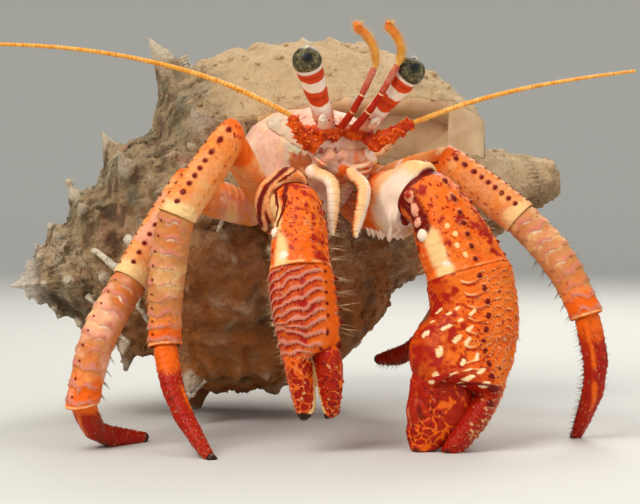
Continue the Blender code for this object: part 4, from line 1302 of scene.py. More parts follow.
# %% The tree of the shell's outside
def shell_tree(start, values):
    """A grid wound round the axis: x is the turn, y the length from apex to canal."""
    node, maths = start.node, start.maths
    whole = 1 + 1 / SHELL_COLUMNS
    sizes = {"Vertices X": SHELL_COLUMNS + 2, "Vertices Y": SHELL_ROWS + 1}
    sizes.update({"Size X": whole, "Size Y": 1.0})
    grid = node("GeometryNodeMeshGrid", sizes)
    spot = node("GeometryNodeInputPosition")
    turn = spot.part(0) + whole / 2
    turn = turn * maths("LESS_THAN", turn, 1 + 0.5 / SHELL_COLUMNS)
    length = spot.part(1) + 0.5
    u = length ** APEX_CROWDING
    back = 1 - turn
    lip_size = maths("POWER", GROWTH, back * -1)
    rib_place = back * RIBS
    rib_gap = maths("FRACT", rib_place + 0.5) - 0.5
    rib_index = maths("ROUND", rib_place)
    nearing = (back * (360 / LIP_ROUND)).least(1.0)
    sunk = 1 - (1 - nearing) ** SINK_POWER * LIP_DROP
    low_rows = (back * 4 - 0.4).most(0.0).least(1.0)
    radius = spine = tip = cord = nothing = u * 0
    for whorl in range(WHORLS):
        size = lip_size * GROWTH ** -float(whorl)
        x = u / size - TUBE_ALONG
        behind = x.least(0.0) * (-1 / TUBE_BACK)
        ahead = x.most(0.0) * (1 / TUBE_AHEAD)
        back_curve = (1 - behind.least(1.0) ** BACK_POWER) ** (1 / BACK_POWER)
        ahead_curve = (1 - ahead.least(1.0) ** AHEAD_POWER) ** (1 / AHEAD_POWER)
        bulge = back_curve * ahead_curve
        inside = maths("GREATER_THAN", bulge, 0.0)
        tube = size * (bulge * TUBE_DEEP + TUBE_OUT) * inside
        if whorl == 0:
            tube = tube * sunk
        cords = maths("COSINE", x * (2 * pi / CORD_PITCH)) * 0.5 + 0.5
        newest = maths("GREATER_THAN", tube, radius)
        cord = cord * (1 - newest) + cords * bulge * newest
        radius = radius.most(tube)
        arc = rib_gap * (2 * pi / RIBS * SHELL_LENGTH) * size * (TUBE_OUT + TUBE_DEEP)
        rows = [(TUBE_ALONG - SHOULDER * TUBE_BACK, values["Shoulder spine"], 1.0)]
        if whorl == 0:
            rows.append((TUBE_ALONG + LOWER_ROW * TUBE_AHEAD, values["Lower spine"], 0.7))
            rows.append((TUBE_ALONG, values["Lower spine"] * 0.55, 0.6))
        for row, (place, tall, wide) in enumerate(rows):
            off = (u / size - place) * size * SHELL_LENGTH
            broad = size * (SPINE_WIDE * wide) + 0.25
            far = maths("SQRT", (arc / broad) ** 2.0 + (off / (broad * 0.78)) ** 2.0)
            tent = (1 - far).most(0.0)
            if row == 0 and whorl == 0:
                horn = maths("COMPARE", rib_index, HORN_RIB, 0.1) * values["Horn"]
                foot = maths("COMPARE", rib_index, FOOT_RIB, 0.1) * values["Foot"]
                tall = tall + horn + foot
            if row > 0:
                tall = tall * low_rows
            spine = spine.most(tent ** 1.25 * tall * size)
            tip = tip.most(tent * wide)
    fade = (u - CANAL_START).most(0.0) / (1 - CANAL_START)
    canal = ((1 - fade) * CANAL_ROOT + fade * CANAL_TIP) * (u / CANAL_START).least(1.0)
    cone = u * APEX_SLOPE * maths("LESS_THAN", u, APEX_SPAN)
    radius = radius.most(canal).most(cone) * SHELL_LENGTH
    rib = (maths("COSINE", rib_gap * (2 * pi)) * 0.5 + 0.5) ** 5.0
    angle = (back * -360 + LIP_TURN) * (pi / 180)
    cosine = maths("COSINE", angle)
    sine = maths("SINE", angle)

    def place(distance, along):
        """The point at a distance from the axis, moved along it, in millimetres."""
        parts = {}
        for i in range(3):
            out = cosine * float(shell_up[i]) + sine * float(shell_front[i])
            part = (u * SHELL_LENGTH + along) * float(shell_axis[i]) + out * distance
            parts[i] = part + float(apex[i])
        return node("ShaderNodeCombineXYZ", parts)

    rest = place(radius, nothing)

    def wander(size, detail):
        inputs = {"Vector": rest, "Scale": 1 / size, "Detail": detail}
        return node("ShaderNodeTexNoise", inputs) - 0.5

    body = (radius / 12).least(1.0)
    crust = wander(11.0, 2.0) * values["Lumps"] + wander(3.8, 3.0) * values["Lumps"] * 0.9
    crust = crust + wander(1.5, 4.0) * values["Lumps"] * 0.62
    frill = (maths("COSINE", back * (2 * pi * RIBS * 6)) * 0.5 + 0.5) ** 4.0
    crust = (crust + frill * wander(6.0, 1.0).most(0.0) * values["Lumps"] * 1.3) * (nearing * 0.65 + 0.35)
    knobs = {"Vector": rest, "Scale": 1 / KNOB_SIZE, "Randomness": 1.0}
    knob = node("ShaderNodeTexVoronoi", knobs)
    knob = (0.42 - knob).most(0.0) ** 1.5 * values["Knobs"]
    edges = maths("SINE", length.least(1.0) * pi).most(0.0)
    edge = (edges * 30).least(1.0)
    swell = rib * 0.055 + 1.0
    ragged = spine * (wander(2.2, 3.0) * 1.1 + 0.95)
    distance = radius * swell + ragged + (crust + knob) * (body * 0.8 + 0.2)
    distance = distance + cord * values["Cords"] * body
    end = maths("COMPARE", maths("ABSOLUTE", length - 0.5), 0.5, 1e-5)
    distance = distance * (1 - end)
    spot = place(distance, (spine * -0.3 + wander(5.0, 2.0) * values["Lumps"] * 0.8) * edge)
    parts = {0: spot.part(0) * MM, 1: spot.part(1) * MM, 2: spot.part(2).most(0.0) * MM}
    final = node("ShaderNodeCombineXYZ", parts)
    hollow = 0.5 - crust / values["Lumps"]
    shape = grid
    for key, value in {"tip": tip, "hollow": hollow, "along": u}.items():
        inputs = {"Geometry": shape, "Name": key, "Value": value}
        shape = node("GeometryNodeStoreNamedAttribute", inputs, data_type="FLOAT", domain="POINT")
    shape = node("GeometryNodeSetPosition", {"Geometry": shape, "Position": final})
    return node("GeometryNodeMergeByDistance", {"Geometry": shape, "Distance": 0.02 * MM})


# %% The shell's finish
def shell_finish():
    """A worn and overgrown outside: tan and brown clouds, pale wear, dark pits, and a darker orange-brown
    lower part that is painted shade.
    """
    finish = Finish("shell_crusts", Specular_IOR_Level=0.25)
    large = finish.noise(15.0, 2.0)
    middle = finish.noise(3.4, 4.0, 0.62)
    fine = finish.noise(0.9, 4.0, 0.65)
    grit = finish.cells(0.55)
    film = finish.noise(6.0, 3.0, 0.6)
    along, tip, hollow = (finish.mark(name) for name in ("along", "tip", "hollow"))
    across, depth, height = (finish.place.part(axis) for axis in range(3))
    front = (1 - depth.between(0.016, 0.036)) * 0.4 + 0.6
    dome = along.between(0.32, 0.46) * height.between(0.03, 0.046) * front
    # Low on the shell, except at its far left, the colour turns a darker orange-brown with fewer pale
    # marks: painted shade under the shell.
    under = across.between(-0.038, -0.018) * (1 - height.between(0.018, 0.046)) * large.between(0.2, 0.46)
    worn = (1 - dome * 0.75) * (1 - under * 0.6)
    raised = (1 - hollow).between(0.54, 0.8) * fine.between(0.38, 0.58)
    colour = layered(
        (0.105, 0.065, 0.031),
        (middle.between(0.38, 0.6), (0.32, 0.225, 0.12)),
        (dome * 0.86, (0.56, 0.385, 0.21)),
        # Painted shade under the shell.
        (under * 0.92, (0.34, 0.105, 0.016)),
        (film.between(0.54, 0.64) * worn * 0.7, (0.16, 0.15, 0.1)),
        ((1 - film).between(0.58, 0.7) * worn * 0.6, (0.4, 0.19, 0.12)),
        (hollow.between(0.5, 0.8) * worn * 0.85, (0.045, 0.026, 0.014)),
        (raised * (1 - under * 0.6) * 0.75, (0.58, 0.45, 0.3)),
        (fine.between(0.55, 0.68) * worn * 0.6, (0.06, 0.036, 0.02)),
        ((tip + middle * 0.6 - 0.3).between(0.28, 0.6) * 0.8, (0.54, 0.45, 0.33)),
        ((0.075 - along).between(0.0, 0.06), (0.58, 0.51, 0.42)),
    )
    roughness = fine * 0.25 + 0.68
    bumps = [(middle, 0.7, 1.2), (fine, 0.8, 0.6), (1 - grit, 0.5, 0.25)]
    return finish.done(colour, roughness, bumps)


shell_material = shell_finish()
SHELL_VALUES = {"Shoulder spine": 7.6, "Lower spine": 3.8, "Horn": 2.2, "Foot": 9.0}
SHELL_VALUES.update({"Lumps": 2.9, "Knobs": 3.4, "Cords": 0.5})
shell_outside = grow("shell_outside", shell_tree, SHELL_VALUES, shell_material)
print("shell grid", len(shell_outside.data.polygons), "faces")

# %% [markdown]
# ### The shell's mouth
# The newest part of the tube is hollow. A Boolean cuts it, because the cut edge is then
# the lip, and the cutter's own faces become the smooth lining.


# %% Hollow the mouth
def tube_bulge(x):
    power = np.where(x < 0, BACK_POWER, AHEAD_POWER)
    return np.maximum(0, 1 - np.abs(x) ** power) ** (1 / power)


def shell_spot(u, back, radius):
    """Points at u along the shell, back degrees from the lip, at a radius."""
    turn = np.radians(LIP_TURN - back)[..., None]
    out = shell_up * np.cos(turn) + shell_front * np.sin(turn)
    return apex + shell_axis * (u * SHELL_LENGTH)[..., None] + out * radius[..., None]


def outer_radius(u, back, first):
    """The shell's plain outside at u, without ribs, spines and wear."""
    best = np.zeros(np.broadcast(u, back).shape)
    for whorl in range(first, WHORLS):
        size = GROWTH ** -(back / 360 + whorl)
        x = u / size - TUBE_ALONG
        x = np.where(x < 0, x / TUBE_BACK, x / TUBE_AHEAD)
        tube = size * (TUBE_OUT + TUBE_DEEP * tube_bulge(x)) * (np.abs(x) < 1)
        best = np.maximum(best, tube)
    return best * SHELL_LENGTH


def lip_sinking(back):
    """How the outside sinks towards the lip, where it rounds over the animal's back."""
    return 1 - LIP_DROP * (1 - np.clip(back / LIP_ROUND, 0, 1)) ** SINK_POWER


def mouth_cutter():
    """The hollow's skin: a roof and a bed between two edges, ring by ring."""
    steps, across = 48, 49
    backs = np.linspace(-LIP_CLEAR, CAVITY_TURN, steps)[:, None]
    k = np.arange(across) / (across - 1)
    x_all = np.linspace(-1, 1, 201)[None, :]
    size = GROWTH ** -(backs / 360)
    wide = np.where(x_all < 0, TUBE_BACK, TUBE_AHEAD)
    u_all = (TUBE_ALONG + x_all * wide) * size
    middle = TUBE_OUT * size * SHELL_LENGTH
    deep = TUBE_DEEP * tube_bulge(x_all * 1.12) * size * SHELL_LENGTH - SHELL_WALL
    bed = np.maximum(middle - deep, outer_radius(u_all, backs, 1) * 1.055 + 1.2)
    roof = (middle + deep + SHELL_WALL) * lip_sinking(backs) - SHELL_WALL
    bed = bed + (roof - bed) * 0.84 * ease(backs, -1.0, 12.0)
    open_part = (roof - bed > 1.0) & (x_all > -0.5)
    bed = np.minimum(bed, roof - 0.3)
    rings = []
    for i in range(steps):
        inside = np.nonzero(open_part[i])[0]
        first, last = x_all[0, inside[0]], x_all[0, inside[-1]]
        x = first + (last - first) * (1 - np.cos(pi * k)) / 2
        u = np.interp(x, x_all[0], u_all[i])
        shrink = 1 - 0.55 * ease(np.array(i / (steps - 1)), 0.75, 1.0)
        upper, lower = np.interp(x, x_all[0], roof[i]), np.interp(x, x_all[0], bed[i])
        mid, half = (upper + lower) / 2, (upper - lower) / 2 * shrink
        back = np.full(across, backs[i, 0])
        outer, inner = shell_spot(u, back, mid + half), shell_spot(u, back, mid - half)
        rings.append(np.concatenate([outer, inner[::-1]]))
    return ring_mesh("mouth_cutter", np.array(rings))


def lining_finish():
    finish = Finish("shell_lining", Specular_IOR_Level=0.5)
    bands = finish.noise(5.0, 2.0)
    fine = finish.noise(0.6, 3.0)
    colour = bands.between(0.42, 0.68).mix((0.72, 0.5, 0.28), (0.6, 0.38, 0.2))
    colour = (fine.between(0.55, 0.7) * 0.3).mix(colour, (0.72, 0.56, 0.38))
    return finish.done(colour, bands * 0.15 + 0.3, [(fine, 0.15, 0.08)])


lining = lining_finish()


def cut_mouth(shell):
    cutter = mouth_cutter()
    cutter.data.materials.append(lining)
    for obj in (shell, cutter):
        bm = bmesh.new()
        bm.from_mesh(obj.data)
        bmesh.ops.remove_doubles(bm, verts=bm.verts, dist=1e-6)
        bmesh.ops.dissolve_degenerate(bm, edges=bm.edges, dist=1e-6)
        bmesh.ops.recalc_face_normals(bm, faces=bm.faces)
        bm.to_mesh(obj.data)
        bm.free()
    cut = shell.modifiers.new("mouth", "BOOLEAN")
    cut.operation = "DIFFERENCE"
    cut.solver = "EXACT"
    cut.object = cutter
    cut.material_mode = "TRANSFER"
    mesh = modified_mesh(shell)
    shell.modifiers.remove(cut)
    shell.data = mesh
    bpy.data.objects.remove(cutter)
    mesh.shade_smooth()
    turn = radians(LIP_TURN)
    lip_out = shell_front * cos(turn) - shell_up * sin(turn)
    smooth = mesh.materials.find(lining.name)
    for face in mesh.polygons:
        spot = np.array(face.center) / MM - apex
        if spot @ shell_axis < LINED_FROM * SHELL_LENGTH:
            face.material_index = mesh.materials.find(shell_material.name)
        elif abs(spot @ lip_out) < LIP_WALL and np.array(face.normal) @ lip_out > 0.85:
            face.material_index = smooth


cut_mouth(shell_outside)
settle(shell_outside, shell_material, "shell_crust", "shell")
print("shell with its mouth", len(shell_outside.data.polygons), "faces")

# %% [markdown]
# ### What grows on the shell
# Crumbs of crust and the pale tubes of worms cling to an old shell. Geometry Nodes
# scatters the crumbs over the outside, with fixed seeds, and the tubes creep over it
# along short paths given as lengths and turns.


# %% Scatter crumbs
def crumb_tree(start, values):
    """Small uneven stones on the outside of the shell, thicker where noise is high."""
    node = start.node
    outside = 1 - node("GeometryNodeMaterialSelection", {0: lining})
    spot = node("GeometryNodeInputPosition")
    patches = node("ShaderNodeTexNoise", {"Vector": spot, "Scale": 1 / (9 * MM)})
    density = patches.between(0.44, 0.62) * values["Density"]
    inputs = {"Mesh": values["Geometry"], "Selection": outside, "Density": density, "Seed": 3}
    points = node("GeometryNodeDistributePointsOnFaces", inputs)
    stone = node("GeometryNodeMeshIcoSphere", {"Radius": 1.0, "Subdivisions": 1})
    size = node("FunctionNodeRandomValue", {2: 0.0, 3: 1.0, "Seed": 4}, 1) ** 3.0
    size = size * values["Largest"] + 0.16 * MM
    flat = node("FunctionNodeRandomValue", {2: 0.4, 3: 0.9, "Seed": 5}, 1)
    scale = node("ShaderNodeCombineXYZ", {0: size, 1: size * 0.8, 2: size * flat})
    turns = {0: (0, 0, 0), 1: (6.3, 6.3, 6.3), "Seed": 6}
    spin = node("FunctionNodeRandomValue", turns, data_type="FLOAT_VECTOR")
    inputs = {"Points": points, "Instance": stone, "Rotation": spin, "Scale": scale}
    shape = node("GeometryNodeInstanceOnPoints", inputs)
    shape = node("GeometryNodeRealizeInstances", {0: shape})
    spot = node("GeometryNodeInputPosition")
    uneven = node("ShaderNodeTexNoise", {"Vector": spot, "Scale": 1 / (0.5 * MM)}, 1)
    shift = node("ShaderNodeVectorMath", {0: uneven, 1: (0.5, 0.5, 0.5)}, operation="SUBTRACT")
    shift = node("ShaderNodeVectorMath", {0: shift, 3: 0.5 * MM}, operation="SCALE")
    return node("GeometryNodeSetPosition", {"Geometry": shape, "Offset": shift})


crumbs = grow("shell_crumbs", crumb_tree, {"Density": 330000.0, "Largest": 0.85 * MM}, shell_material,
              shell_outside.data)
for vert in crumbs.data.vertices:
    vert.co.z = max(vert.co.z, 0.0)
settle(crumbs, shell_material, "shell_crust")
print("crumbs", len(crumbs.data.polygons), "faces")


# %% Worm tubes
MARKS["hole"] = (0.06, 0.04, 0.025)
chalk = cuticle("worm_chalk", (0.5, 0.42, 0.3), (0.66, 0.6, 0.48), ["hole"], (0.2, 0.14, 0.08),
                satin=0.65, speckle=0.6, cloud=1.1)
crust_corners = [vert.co / MM for vert in shell_outside.data.vertices]
crust = BVHTree.FromPolygons(crust_corners, [tuple(face.vertices) for face in shell_outside.data.polygons])


def worm_tube(name, steps, radius):
    """A tube that follows (length, turn, lift) steps over the crust, open at its end."""
    path = []
    for u, back, lift in steps:
        u, back = np.array(u), np.array(back)
        inner, outer = (shell_spot(u, back, np.array(reach)) for reach in (0.0, 60.0))
        out = unit(outer - inner)
        hit = crust.ray_cast(Vector(outer), Vector(-out))[0]
        path.append(np.array(hit) + out * lift)
    form = drawn_form(path, (radius * 0.55, radius), (radius * 0.55, radius), UP)
    relief = Relief(form, neck=0.0, lip=0.05, grain=0.14, flare=0.12)
    relief.height += 0.06 * np.sin(relief.s * 9.0) + 0.1 * relief.rough(0.8, 2, 7)
    relief.mark(hole=relief.in_socket)
    settle(relief.mesh(name), chalk, "shell_crust")


HOOK = [(0.15, 330, -0.3), (0.162, 324, 0.6), (0.176, 316, 1.0), (0.192, 311, 1.6), (0.208, 312, 2.2),
        (0.216, 320, 2.0), (0.212, 328, 1.0)]
BY_HORN = [(0.43, 70, -0.2), (0.412, 64, 0.5), (0.396, 60, 0.8), (0.384, 58, 2.4), (0.378, 57, 4.4)]
worm_tube("worm_tube_hook", HOOK, 0.85)
worm_tube("worm_tube_horn", BY_HORN, 1.05)
dice = np.random.default_rng(19)
for k in range(7):
    steps = [(dice.uniform(0.16, 0.62), dice.uniform(130, 335), -0.3)]
    drift = dice.uniform(0, 6.3)
    for _ in range(6):
        drift += dice.uniform(-1.0, 1.3)
        u, back, lift = steps[-1]
        steps.append((u + 0.018 * sin(drift), back + 7 * cos(drift), 0.25))
    worm_tube(f"worm_tube_{k}", steps, dice.uniform(0.35, 0.58))
print("worm tubes set")

# %% [markdown]
# ## The body
# No seam shows between chest, face, rear carapace and tail. Their solids are copied,
# grown until they overlap and remeshed into one skin, whose even small faces can carry
# lobes and folds. The hard shield on top stays a plate of its own.

# %% Where the face is
BODY_HEADING = radians(17.0)
forward = np.array([sin(BODY_HEADING), -cos(BODY_HEADING), 0.0])
leftward = np.cross(UP, forward)


heart = points_of("carapace_rear").mean(0)
nose = (near_end("antennule_left", heart) + near_end("antennule_right", heart)) / 2
print("nose", np.round(nose, 1))


# %% The Skin class
class Skin(Marked):
    """A remeshed surface over solids, whose points take heights and marks."""

    def __init__(self, names, voxel=0.42, swell=0.28, smoothing=6):
        source = bmesh.new()
        for node in names:
            piece = bmesh.new()
            piece.from_mesh(nodes[node].data)
            bmesh.ops.remove_doubles(piece, verts=piece.verts, dist=1e-5)
            piece.normal_update()
            for vert, push in [(vert, vert.normal.copy()) for vert in piece.verts]:
                vert.co += push * swell * MM
            copy = bpy.data.meshes.new(node)
            piece.to_mesh(copy)
            piece.free()
            source.from_mesh(copy)
            bpy.data.meshes.remove(copy)
        mesh = bpy.data.meshes.new("skin")
        source.to_mesh(mesh)
        source.free()
        obj = place_object("skin", mesh)
        remesh = obj.modifiers.new("remesh", "REMESH")
        remesh.mode = "VOXEL"
        remesh.voxel_size = voxel * MM
        smooth = obj.modifiers.new("smooth", "SMOOTH")
        smooth.iterations = smoothing
        fine = modified_mesh(obj)
        bpy.data.objects.remove(obj)
        self.spots = read(fine.vertices, "co", 3).astype(float) / MM
        self.normals = read(fine.vertex_normals, "vector", 3).astype(float)
        self.faces = [tuple(face.vertices) for face in fine.polygons]
        bpy.data.meshes.remove(fine)
        self.height = np.zeros(len(self.spots))
        self.marks = {}
        away = self.spots - nose
        self.ahead, self.left, self.up = away @ forward, away @ leftward, away[:, 2]
        self.front = ease(self.normals @ forward, -0.1, 0.35)

    def lobe(self, left, up, wide, tall, height=0.0, **marks):
        """A rounded swelling of the face with its colours, placed from the nose."""
        warp = 0.35 * self.rough(1.1, 2, 84)
        far = np.hypot((self.left - left) / wide, (self.up - up) / tall) + warp
        shape = ease(1 - far, 0.0, 0.75) * self.front
        self.height += shape * height
        for name, strength in marks.items():
            self.mark(**{name: ease(1 - far, 0.0, 0.5) * self.front * strength})

    def mesh(self, name):
        spots = self.spots + self.normals * self.height[:, None]
        spots[:, 2] = np.maximum(spots[:, 2], DEEPEST)
        fields = {key: np.clip(values, 0, 1) for key, values in self.marks.items()}
        return shape_mesh(name, spots, self.faces, fields)


# %% The flesh
MARKS["moss"] = (0.5, 0.5, 0.36)
BLUSH = (0.78, 0.44, 0.32)
MARKS["rust"] = (0.4, 0.115, 0.035)
flesh_marks = ["pink", "moss", "rust", "orange", "pale", "flush", "dark", "white"]
flesh = cuticle("flesh_skin", BLUSH, (0.82, 0.55, 0.4), flesh_marks, satin=0.42, speckle=0.2, cloud=2.4)


def make_flesh():
    skin = Skin(["face", "carapace_rear", "thorax", "abdomen"])
    clouds = skin.rough(3.0, 3, 81)
    fine = skin.rough(0.9, 2, 82)
    flank = ease(-skin.left, 4.5, 6.5) * ease(skin.ahead, -14, -3) * ease(skin.up, -9.5, -7)
    skin.mark(moss=flank * (0.8 + 0.25 * clouds), pale=0.5 * ease(clouds, 0.1, 0.8))
    vein = bell(skin.up + 3.2 + 0.75 * (skin.left + 8.5), 0.22) * ease(-skin.left, 5.6, 6.2) * flank
    skin.mark(flush=vein * 0.9)
    skin.lobe(-6.0, -6.3, 1.9, 3.2, 0.7, rust=0.9)
    skin.lobe(-2.2, -4.6, 2.0, 1.9, 0.9, pink=0.7)
    skin.lobe(0.6, -4.4, 1.7, 1.9, 0.8, pink=0.6)
    skin.lobe(-1.1, -3.7, 0.75, 1.1, -0.7, flush=0.7, dark=0.5)
    skin.lobe(-0.4, -5.6, 0.8, 0.7, -0.4, flush=0.5)
    skin.lobe(-3.9, -3.0, 1.3, 1.1, 0.5, white=0.6)
    skin.lobe(2.7, -4.8, 1.9, 2.2, 0.9, orange=0.45, rust=0.5)
    # Two raised cream spots beside the mouth: painted highlights.
    skin.lobe(4.6, -4.6, 1.1, 0.9, 0.6, white=0.8)
    skin.lobe(5.9, -5.4, 1.4, 0.8, 0.6, pale=0.9)
    skin.lobe(0.4, -8.0, 2.4, 3.0, 0.6, orange=0.8, flush=0.15)
    for k in range(7):
        skin.lobe(-3.6 + 1.1 * k, -2.5 - 0.3 * (k % 2), 0.6, 0.5, 0.4, white=0.5 * (k % 2), pink=0.6)
    tail = ease(skin.spots[:, 1], 4.0, 9.0)
    folds = np.sin(skin.spots[:, 0] * 1.7 + 1.2 * clouds) * 0.18 * tail
    skin.height += clouds * 0.14 + fine * 0.06 + folds
    skin.mark(pink=tail * 0.5)
    settle(skin.mesh("flesh_skin"), flesh, "soft_skin", "face", "carapace_rear", "thorax", "abdomen")
    return skin


flesh_skin = make_flesh()
print("flesh", len(flesh_skin.faces), "faces")


# %% The shield
def make_shield():
    """The hard front of the carapace: mottled, with short cross ridges and a furrow."""
    skin = Skin(["shield"], voxel=0.3, swell=0.3, smoothing=5)
    clouds = skin.rough(3.0, 3, 91)
    ridge = lumps(skin.spots * np.array([0.45, 1.0, 0.6]), 0.55, 92)
    skin.height += 0.1 * ridge + 0.12 * clouds
    skin.height -= 0.35 * bell(skin.left, 0.5) * ease(skin.normals[:, 2], 0.3, 0.8)
    skin.mark(pink=ease(clouds, -0.1, 0.7) * 0.8, moss=ease(-skin.left, 4.0, 8.0) * 0.5)
    skin.mark(flush=ease(lumps(skin.spots, 1.2, 95), 0.45, 0.8) * 0.6, pale=ease(ridge, 0.3, 0.8) * 0.6)
    settle(skin.mesh("shield_plate"), flesh, "shield_plate", "shield")


make_shield()
print("shield set")

# %% [markdown]
# ## Eyes, feelers and mouthparts
# An eye is a domed cornea of small facets on a stalk ringed in red and white. Stems and
# whips are read from their solids as the legs were, and small mouthparts that have no
# solid of their own are drawn along short curves.


# %% Eyes
def cornea_finish():
    finish = Finish("cornea", Specular_IOR_Level=0.25)
    mottle = finish.cells(0.42)
    cloud = finish.noise(0.9, 3.0)
    facets = finish.cells(0.11)
    colour = layered(
        (0.135, 0.115, 0.045),
        (mottle.between(0.15, 0.55), (0.04, 0.035, 0.014)),
        (cloud.between(0.5, 0.68) * 0.8, (0.24, 0.195, 0.08)),
        (finish.mark("rim").between(0.35, 0.65), (0.84, 0.68, 0.54)),
        (finish.mark("pupil").between(0.22, 0.8), (0.004, 0.004, 0.004)),
        (finish.mark("spike"), (0.72, 0.62, 0.42)),
    )
    return finish.done(colour, cloud * 0.14 + 0.38, [(facets, 0.5, 0.04)])


cornea = cornea_finish()
MARKS["band"] = (0.66, 0.06, 0.008)
stalk_marks = ["pink", "orange", "band", "flush", "white", "dark"]
stalk_cuticle = cuticle("banded_stalk", (0.8, 0.5, 0.38), (0.84, 0.62, 0.5), stalk_marks,
                        satin=0.34, speckle=0.25, cloud=1.2)


def make_eye(side):
    stalk, eye = f"eyestalk_{side}", f"eye_{side}"
    top, _ = facing(stalk, eye)
    root = near_end(stalk, heart)
    form = Form(triangles(stalk), root, top, forward, (0.08, 0.92))
    relief = Relief(form, neck=0.6, lip=0.02, grain=0.11, flare=0.05, bare_neck=False)
    t = relief.s / form.length + 0.07 * np.cos(relief.angle)
    t = t + 0.015 * lumps(relief.spots, 0.8, 101)
    bands = ((0.93, 1.4, "band"), (0.77, 0.93, "white"), (0.53, 0.77, "band"), (0.45, 0.53, "white"))
    for low, high, colour in bands:
        relief.mark(**{colour: ease(t, low - 0.02, low + 0.02) * fall(t, high - 0.02, high + 0.02)})
    relief.mark(orange=bell(t - 0.94, 0.04) * 0.8 + bell(t - 0.54, 0.04) * 0.8)
    relief.mark(flush=bell(t - 0.66, 0.05) * 0.5 + bell(t - 1.02, 0.05) * 0.5)
    relief.mark(pink=1 - ease(t, 0.3, 0.45))
    relief.height += 0.1 * (bell(t - 0.98, 0.07) + bell(t - 0.65, 0.09)) * relief.open
    for _ in range(24):
        s, degrees = form.length * rng.uniform(0.02, 0.3), rng.uniform(0, 360)
        relief.stud(s, degrees, 0.28, 0.12, 1.0, flush=(0.9, 0.8))
    relief.height += 0.04 * relief.rough(0.7, 2, 102) * relief.open
    settle(relief.mesh(f"{stalk}_bands"), stalk_cuticle, "banded_stalk", stalk)
    tip = tip_of(eye, top)
    seat = near_end(eye, top)
    axis = unit(tip - seat) if side == "right" else unit(top - root)
    long = ((points_of(eye) - seat) @ axis).max()
    form = Form(triangles(eye), seat, seat + axis * long, forward, (0.12, 0.55), harmonics=2,
                line=seat + axis * np.linspace(0, long, Form.ROWS)[:, None])
    relief = Relief(form, neck=0.45, closed_tip=long * 0.52, grain=0.085, pinch=0.0, cap=0.4,
                    bare_neck=False)
    out = unit(relief.spots - relief.spots.reshape(-1, 3).mean(0))
    gaze = unit(np.array([0.05 if side == "right" else 0.25, -1.0, 0.18]))
    relief.mark(pupil=bell(np.arccos(np.clip(out @ gaze, -1, 1)), 0.44))
    relief.mark(rim=1 - ease(relief.s + 0.25 * np.cos(relief.angle), 0.45, 0.95))
    relief.height += 0.14 * ease(relief.s, 0.2, 1.2)
    crown = out @ unit(axis + UP * 0.3)
    relief.mark(spike=ease(crown, 0.988, 0.995))
    relief.height += 1.3 * np.clip((crown - 0.982) / 0.018, 0, 1) ** 1.5
    settle(relief.mesh(f"{eye}_cornea"), cornea, "cornea", eye)


for side in SIDES:
    make_eye(side)
print("eyes set")


# %% Stems, whips, scales, mouthparts and the small rear legs
feeler_yellow = cuticle("yellow_feeler", (0.78, 0.36, 0.045), (0.85, 0.5, 0.12),
                        ["orange", "pale", "flush"], satin=0.35, speckle=0.3, cloud=1.4)


def stem(name, start, piece="stem", material=finger_cuticle, slot="red_peduncle", end=None, hint=UP,
         **options):
    """The relief of a slim piece, from its start to an end or to its own far tip."""
    end = tip_of(name, start) if end is None else end
    form = Form(triangles(name), start, end, hint, (0.06, 0.94), harmonics=3)
    options = {"neck": 0.3, "closed_tip": 0.25, "grain": 0.11, "bare_neck": False, **options}
    relief = Relief(form, **options)
    relief.piece = (f"{name}_{piece}", material, slot, name)
    return relief


def put(relief):
    name, material, slot, *replaced = relief.piece
    settle(relief.mesh(name), material, slot, *replaced)
    return relief


def joints_along(relief, places, deep=0.1, pale=0.8):
    """The pale pinched rings where the articles of a stem meet."""
    for place in places:
        near = bell(relief.s - place * relief.form.length, 0.14)
        relief.height -= near * deep
        relief.mark(pale=near * pale)


def roughen(relief, count):
    """Spiny granules all over a red stem: small orange ones, and pale-tipped spines."""
    length = relief.form.length
    relief.mark(orange=0.42 + 0.22 * relief.rough(1.2, 2, 9))
    for k in range(count):
        s, degrees = rng.uniform(0.4, length - 0.4), rng.uniform(0, 360)
        if k % 3 == 0:
            relief.stud(s, degrees, 0.4, 0.75, 1.2, 0.6, orange=(0.5, 0.9), pale=(0.25, 0.8))
        else:
            relief.stud(s, degrees, 0.3, 0.25, 1.1, 0.4, orange=(0.9, 0.7))


def ringed_whip(name, joint, piece, grain, pitch, deep):
    """A thread of short rings, with grooves this deep between them."""
    whip = stem(name, joint, piece, feeler_yellow, "yellow_feeler", grain=grain)
    ring = np.abs(np.sin(whip.s * pi / pitch)) ** 0.6
    whip.height += (ring - 1) * deep
    return whip, ring


